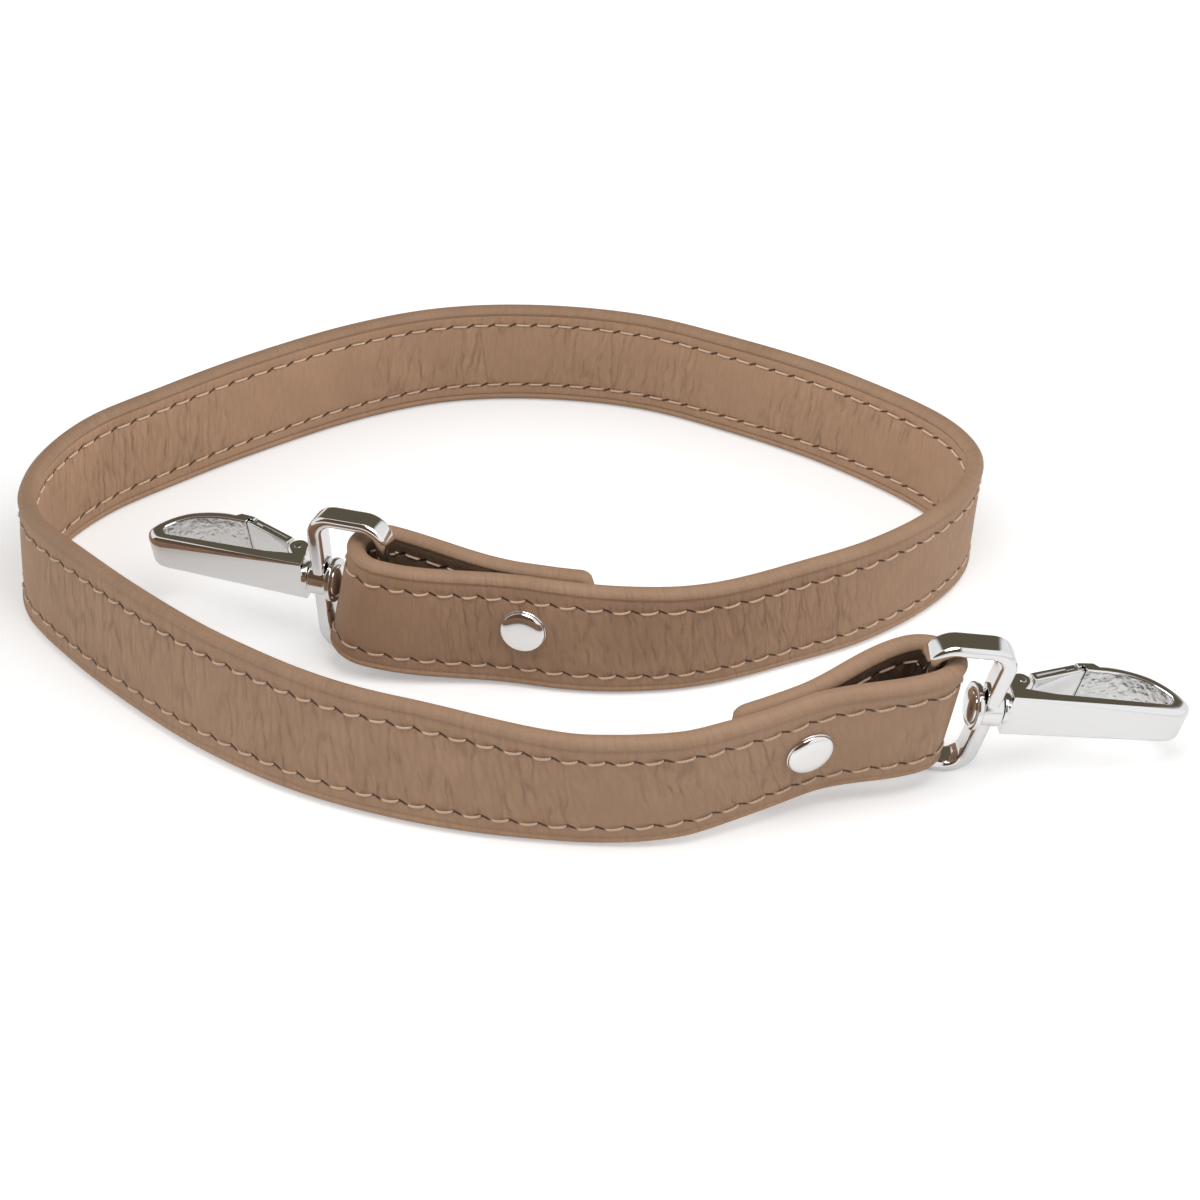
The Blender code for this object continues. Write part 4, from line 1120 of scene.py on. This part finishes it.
def soft_plate(outline, half_width, bevels, steps=6):
    """Plate over an outline whose edges are rounded; half_width gives its half width at each x."""
    rings = []
    for turn in [pi / 2 * i / steps for i in range(steps + 1)]:
        inset = inset_outline(outline, [bevel * (1 - sin(turn)) for bevel in bevels])
        rings.append([Vector((spot.x, spot.y, -half_width(spot.x) + bevel * (1 - cos(turn))))
                      for spot, bevel in zip(inset, bevels)])
    rings += [[Vector((spot.x, spot.y, -spot.z)) for spot in ring] for ring in rings[::-1]]
    size = len(outline)
    points = [point for ring in rings for point in ring]
    faces = [tuple(range(size)), tuple(range(len(points) - size, len(points)))]
    for level in range(len(rings) - 1):
        low = level * size
        for i in range(size):
            j = (i + 1) % size
            faces.append((low + i, low + j, low + size + j, low + size + i))
    return points, faces


def prism(outline, low, high):
    points = [Vector((spot.x, spot.y, z)) for z in (low, high) for spot in outline]
    size = len(outline)
    faces = [tuple(range(size)), tuple(range(size, 2 * size))]
    faces += [(i, (i + 1) % size, size + (i + 1) % size, size + i) for i in range(size)]
    return points, faces


def carve(piece, solids, placement):
    """Cuts closed solids out of a piece for good."""
    for i, (points, faces) in enumerate(solids):
        mesh = solid_mesh("cutter", [placement @ point for point in points], faces)
        cutter = bpy.data.objects.new("cutter", mesh)
        bpy.context.scene.collection.objects.link(cutter)
        step = piece.modifiers.new(f"cut_{i}", "BOOLEAN")
        step.operation = "DIFFERENCE"
        step.solver = "EXACT"
        step.object = cutter
        bpy.context.view_layer.update()
        result = piece.evaluated_get(bpy.context.evaluated_depsgraph_get())
        shaped = bpy.data.meshes.new_from_object(result)
        piece.modifiers.remove(step)
        piece.data = shaped
        bpy.data.objects.remove(cutter)
    piece.data.shade_smooth()
    piece.data.set_sharp_from_angle(angle=radians(30))


def cast_inside(piece, hook):
    """Gives the eye's inner walls an uneven cast surface."""
    piece.data.materials.append(CAST)
    to_hook = hook.inverted()
    eye = by_gate(GATE_LENGTH, -GATE_INSIDE).lerp(from_front(HOOK_LENGTH * EYE_FLOOR_SHARE, HOOK_WALL), 0.5)
    for face in piece.data.polygons:
        spot = (to_hook @ face.center).xy
        facing = (to_hook.to_3x3() @ face.normal).xy
        inner = by_gate(0, -GATE_INSIDE).x < spot.x < HOOK_LENGTH * EYE_LIMIT_SHARE
        if inner and facing.length > 0.9 and facing.dot(eye - spot) > 0.4 * (eye - spot).length:
            face.material_index = 1


def add_hook(end, hook):
    body = f"hook_{end}"
    nodes = [f"hook_body_{end}"]
    outline, bevels = hook_outline()
    plate = soft_plate(outline, hook_half_width, bevels)
    piece = mesh_piece(f"hook_{end}_body", plate, body, CHROME, nodes, hook)
    reach = EAR_RADIUS + MM
    floor = arc(KNUCKLE_RADIUS + SEAT_GAP, (180.0, 300.0), 12)
    slot = floor + [Vector((reach, floor[-1].y)), Vector((reach, reach)), Vector((-reach, reach)),
                    Vector((-reach, floor[0].y))]
    slot = [HINGE.xy + spot for spot in slot]
    lap_end = GATE_LENGTH + GATE_LAP + NOSE_GAP
    lap_top = GATE_LIP - GATE_INSIDE + NOSE_GAP
    lap_bottom = -GATE_INSIDE - MM
    lap = [by_gate(GATE_LENGTH, lap_bottom), by_gate(lap_end, lap_bottom), by_gate(lap_end, lap_top),
           by_gate(GATE_LENGTH, lap_top)]
    carve(piece, [prism(slot, -FORK_SLOT / 2, FORK_SLOT / 2), prism(lap, -HOOK_WIDTH, HOOK_WIDTH)], hook)
    cast_inside(piece, hook)
    boss = rounded([(-BOSS_LENGTH, 0), (-BOSS_LENGTH, BOSS_DIAMETER / 2), (0.35 * MM, BOSS_DIAMETER / 2),
                    (0.35 * MM, 0)], 0.25 * MM)
    mesh_piece(f"hook_{end}_boss", turned(boss), body, CHROME, nodes, hook)


def add_gate(end, hook):
    body = f"gate_{end}"
    tip = GATE_LENGTH + GATE_LAP
    outline = [Vector(spot) for spot in (
        (GATE_START, -GATE_INSIDE), (tip, -GATE_INSIDE), (tip, GATE_LIP - GATE_INSIDE),
        (GATE_LENGTH, GATE_LIP - GATE_INSIDE), (GATE_LENGTH, GATE_OUTSIDE), (GATE_START, GATE_OUTSIDE))]

    def half_width(reach):
        return hook_half_width(GATE_HINGE_X + reach * cos(GATE_RISE)) - GATE_SIDE_INSET

    placement = hook @ GATE_FRAME
    plate = soft_plate(outline, half_width, [GATE_BEVEL] * len(outline), 3)
    plate = mesh_piece(f"gate_{end}_plate", plate, body, CHROME, [body], placement)
    rail = (GATE_OUTSIDE - GATE_INSIDE - GROOVE_WIDTH) / 2
    groove = [Vector(spot) for spot in (
        (GATE_START + GROOVE_DEPTH, rail), (GATE_LENGTH - GROOVE_DEPTH, rail),
        (GATE_LENGTH - GROOVE_DEPTH, rail + GROOVE_WIDTH), (GATE_START + GROOVE_DEPTH, rail + GROOVE_WIDTH))]
    bottom = half_width(GATE_LENGTH) - GROOVE_DEPTH
    carve(plate, [prism(groove, side * bottom, side * HOOK_WIDTH) for side in (-1, 1)], placement)
    root = GATE_START + GATE_OUTSIDE
    arm = arc(KNUCKLE_RADIUS, (60.0, 300.0), 24)
    arm += [Vector((root, GATE_BEVEL - GATE_INSIDE)), Vector((root, GATE_OUTSIDE - GATE_BEVEL))]
    high = FORK_SLOT / 2 - SEAT_GAP
    arm = prism(arm, high - KNUCKLE_WIDTH, high)
    mesh_piece(f"gate_{end}_arm", arm, body, CHROME, [body], placement, sharp=35)
    half = hook_half_width(GATE_HINGE_X) + 0.06 * MM
    radius = GATE_PIN_DIAMETER / 2 + 0.1 * MM
    pin = rounded([(-half, 0), (-half, radius), (half, radius), (half, 0)], 0.2 * MM)
    across = axes(Vector(), UP, Vector((1, 0, 0)))
    mesh_piece(f"gate_pin_{end}_rod", turned(pin, 32), f"hook_{end}", STEEL, [f"gate_pin_{end}"],
               placement @ across)


# Surroundings

def floor_material():
    """Pale floor that keeps shadows and looks white to the camera, near and far."""
    made = bpy.data.materials.new("pale_floor")
    made.use_nodes = True
    made.node_tree.nodes.clear()
    nodes = Nodes(made.node_tree)
    path = nodes.add("ShaderNodeLightPath").outputs
    mirrored = nodes.calc("MAXIMUM", path["Is Glossy Ray"], path["Is Transmission Ray"])
    place = nodes.add("ShaderNodeTexCoord").outputs["Object"]
    distance = nodes.add("ShaderNodeVectorMath", {0: place}, operation="LENGTH").outputs["Value"]
    glow = nodes.fade(distance, FLOOR_NEAR, FLOOR_FAR, FLOOR_GLOW, FLOOR_GLOW + FAR_GLOW)
    level = nodes.calc("MULTIPLY_ADD", path["Is Camera Ray"], glow, nodes.times(mirrored, MIRRORED_GLOW))
    plain = nodes.add("ShaderNodeBsdfDiffuse", {"Color": (FLOOR_SHADE, FLOOR_SHADE, FLOOR_SHADE, 1)})
    white = nodes.add("ShaderNodeEmission", {"Strength": level})
    both = nodes.add("ShaderNodeAddShader", {0: plain.outputs[0], 1: white.outputs[0]})
    nodes.add("ShaderNodeOutputMaterial", {"Surface": both.outputs[0]})
    return made


def add_floor():
    mesh = bpy.data.meshes.new("floor")
    half = FLOOR_SIZE / 2
    corners = [(-half, -half, 0), (half, -half, 0), (half, half, 0), (-half, half, 0)]
    mesh.from_pydata(corners, [], [(0, 1, 2, 3)])
    mesh.materials.append(floor_material())
    floor = bpy.data.objects.new("floor", mesh)
    bpy.context.scene.collection.objects.link(floor)
    floor.location.z = CAD_BOX[0][2] - FLOOR_GAP


def mirrored_room(nodes, across, ahead, above):
    """Colour that metal mirrors: a white room with a dark wall beyond the object and one before it."""
    aside = nodes.calc("ABSOLUTE", across, 0.0)
    walls = nodes.times(nodes.fade(above, *WALL_FOOT), nodes.fade(above, *WALL_TOP, 1.0, 0.0))
    low, high = CEILING_STRIP
    beyond = nodes.times(nodes.fade(aside, *FAR_WALL_SIDES, 1.0, FAR_WALL_REST), nodes.fade(ahead, low, high))
    before = nodes.times(nodes.fade(across, *NEAR_WALL_SIDE, 1.0, 0.0),
                         nodes.fade(ahead, -high, -low, 1.0, 0.0))
    tint = nodes.mix(nodes.fade(ahead, -0.1, 0.1), NEAR_WALL_COLOR, FAR_WALL_COLOR)
    return nodes.mix(nodes.times(walls, nodes.plus(beyond, before)), ROOM_COLOR, tint)


def add_world():
    """White to the camera, plain light on surfaces that is fuller from the sides, and a room for metal."""
    world = bpy.data.worlds.new("studio")
    bpy.context.scene.world = world
    world.use_nodes = True
    world.node_tree.nodes.clear()
    nodes = Nodes(world.node_tree)
    direction = nodes.add("ShaderNodeTexCoord").outputs["Generated"]
    across, ahead, above = nodes.add("ShaderNodeSeparateXYZ", {0: direction}).outputs
    seen = nodes.add("ShaderNodeBackground", {"Color": mirrored_room(nodes, across, ahead, above)})
    level = nodes.plus(nodes.times(across, across, SKY_SIDES), SKY_LEVEL)
    light = nodes.add("ShaderNodeBackground", {"Color": (*SKY_COLOR, 1), "Strength": level})
    white = nodes.add("ShaderNodeBackground", {"Color": (1, 1, 1, 1)})
    path = nodes.add("ShaderNodeLightPath").outputs
    mirrored = nodes.calc("MAXIMUM", path["Is Glossy Ray"], path["Is Transmission Ray"])
    surfaces = nodes.add("ShaderNodeMixShader", {0: mirrored, 1: light.outputs[0], 2: seen.outputs[0]})
    both = nodes.add("ShaderNodeMixShader",
                     {0: path["Is Camera Ray"], 1: surfaces.outputs[0], 2: white.outputs[0]})
    nodes.add("ShaderNodeOutputWorld", {"Surface": both.outputs[0]})


def add_lamp():
    lamp = bpy.data.lights.new("soft_lamp", "AREA")
    lamp.shape = "DISK"
    lamp.size = LAMP_SIZE
    lamp.energy = LAMP_POWER
    soft = bpy.data.objects.new("soft_lamp", lamp)
    bpy.context.scene.collection.objects.link(soft)
    soft.location = LAMP_PLACE
    aim = Vector(LAMP_TARGET) - Vector(LAMP_PLACE)
    soft.rotation_euler = aim.to_track_quat("-Z", "Y").to_euler()
    soft.visible_camera = False


def add_camera():
    lens = bpy.data.cameras.new("camera")
    lens.lens = CAMERA_LENS
    lens.sensor_width = CAMERA_SENSOR
    lens.clip_start = 0.01
    camera = bpy.data.objects.new("camera", lens)
    bpy.context.scene.collection.objects.link(camera)
    camera.location = CAMERA_PLACE
    camera.rotation_euler = (radians(CAMERA_TILT_DEGREES), 0, 0)
    bpy.context.scene.camera = camera
    bpy.context.scene.view_settings.view_transform = "Standard"


def dress_node(name, material):
    """Gives a CAD node that stays showing its material."""
    node = frame["nodes"][name]
    node.data.materials.clear()
    node.data.materials.append(material)


def main():
    add_camera()
    add_floor()
    add_world()
    add_lamp()
    strap = Strap()
    add_leather(strap)
    for side, face in ((-1, "outer"), (1, "inner")):
        for (row, phase), edge in zip(STITCH_ROWS, ("upper", "lower")):
            add_stitches(strap, row, phase, side, f"stitches_{face}_{edge}", f"thread_{face}_{edge}")
    add_rivets(strap)
    for end in ENDS:
        ring, hook = hook_frame(end)
        add_ring(end, ring, hook)
        add_hook(end, hook)
        add_gate(end, hook)
        dress_node(f"gate_spring_{end}", STEEL)
    dress_node("strap_core", CORE)


main()
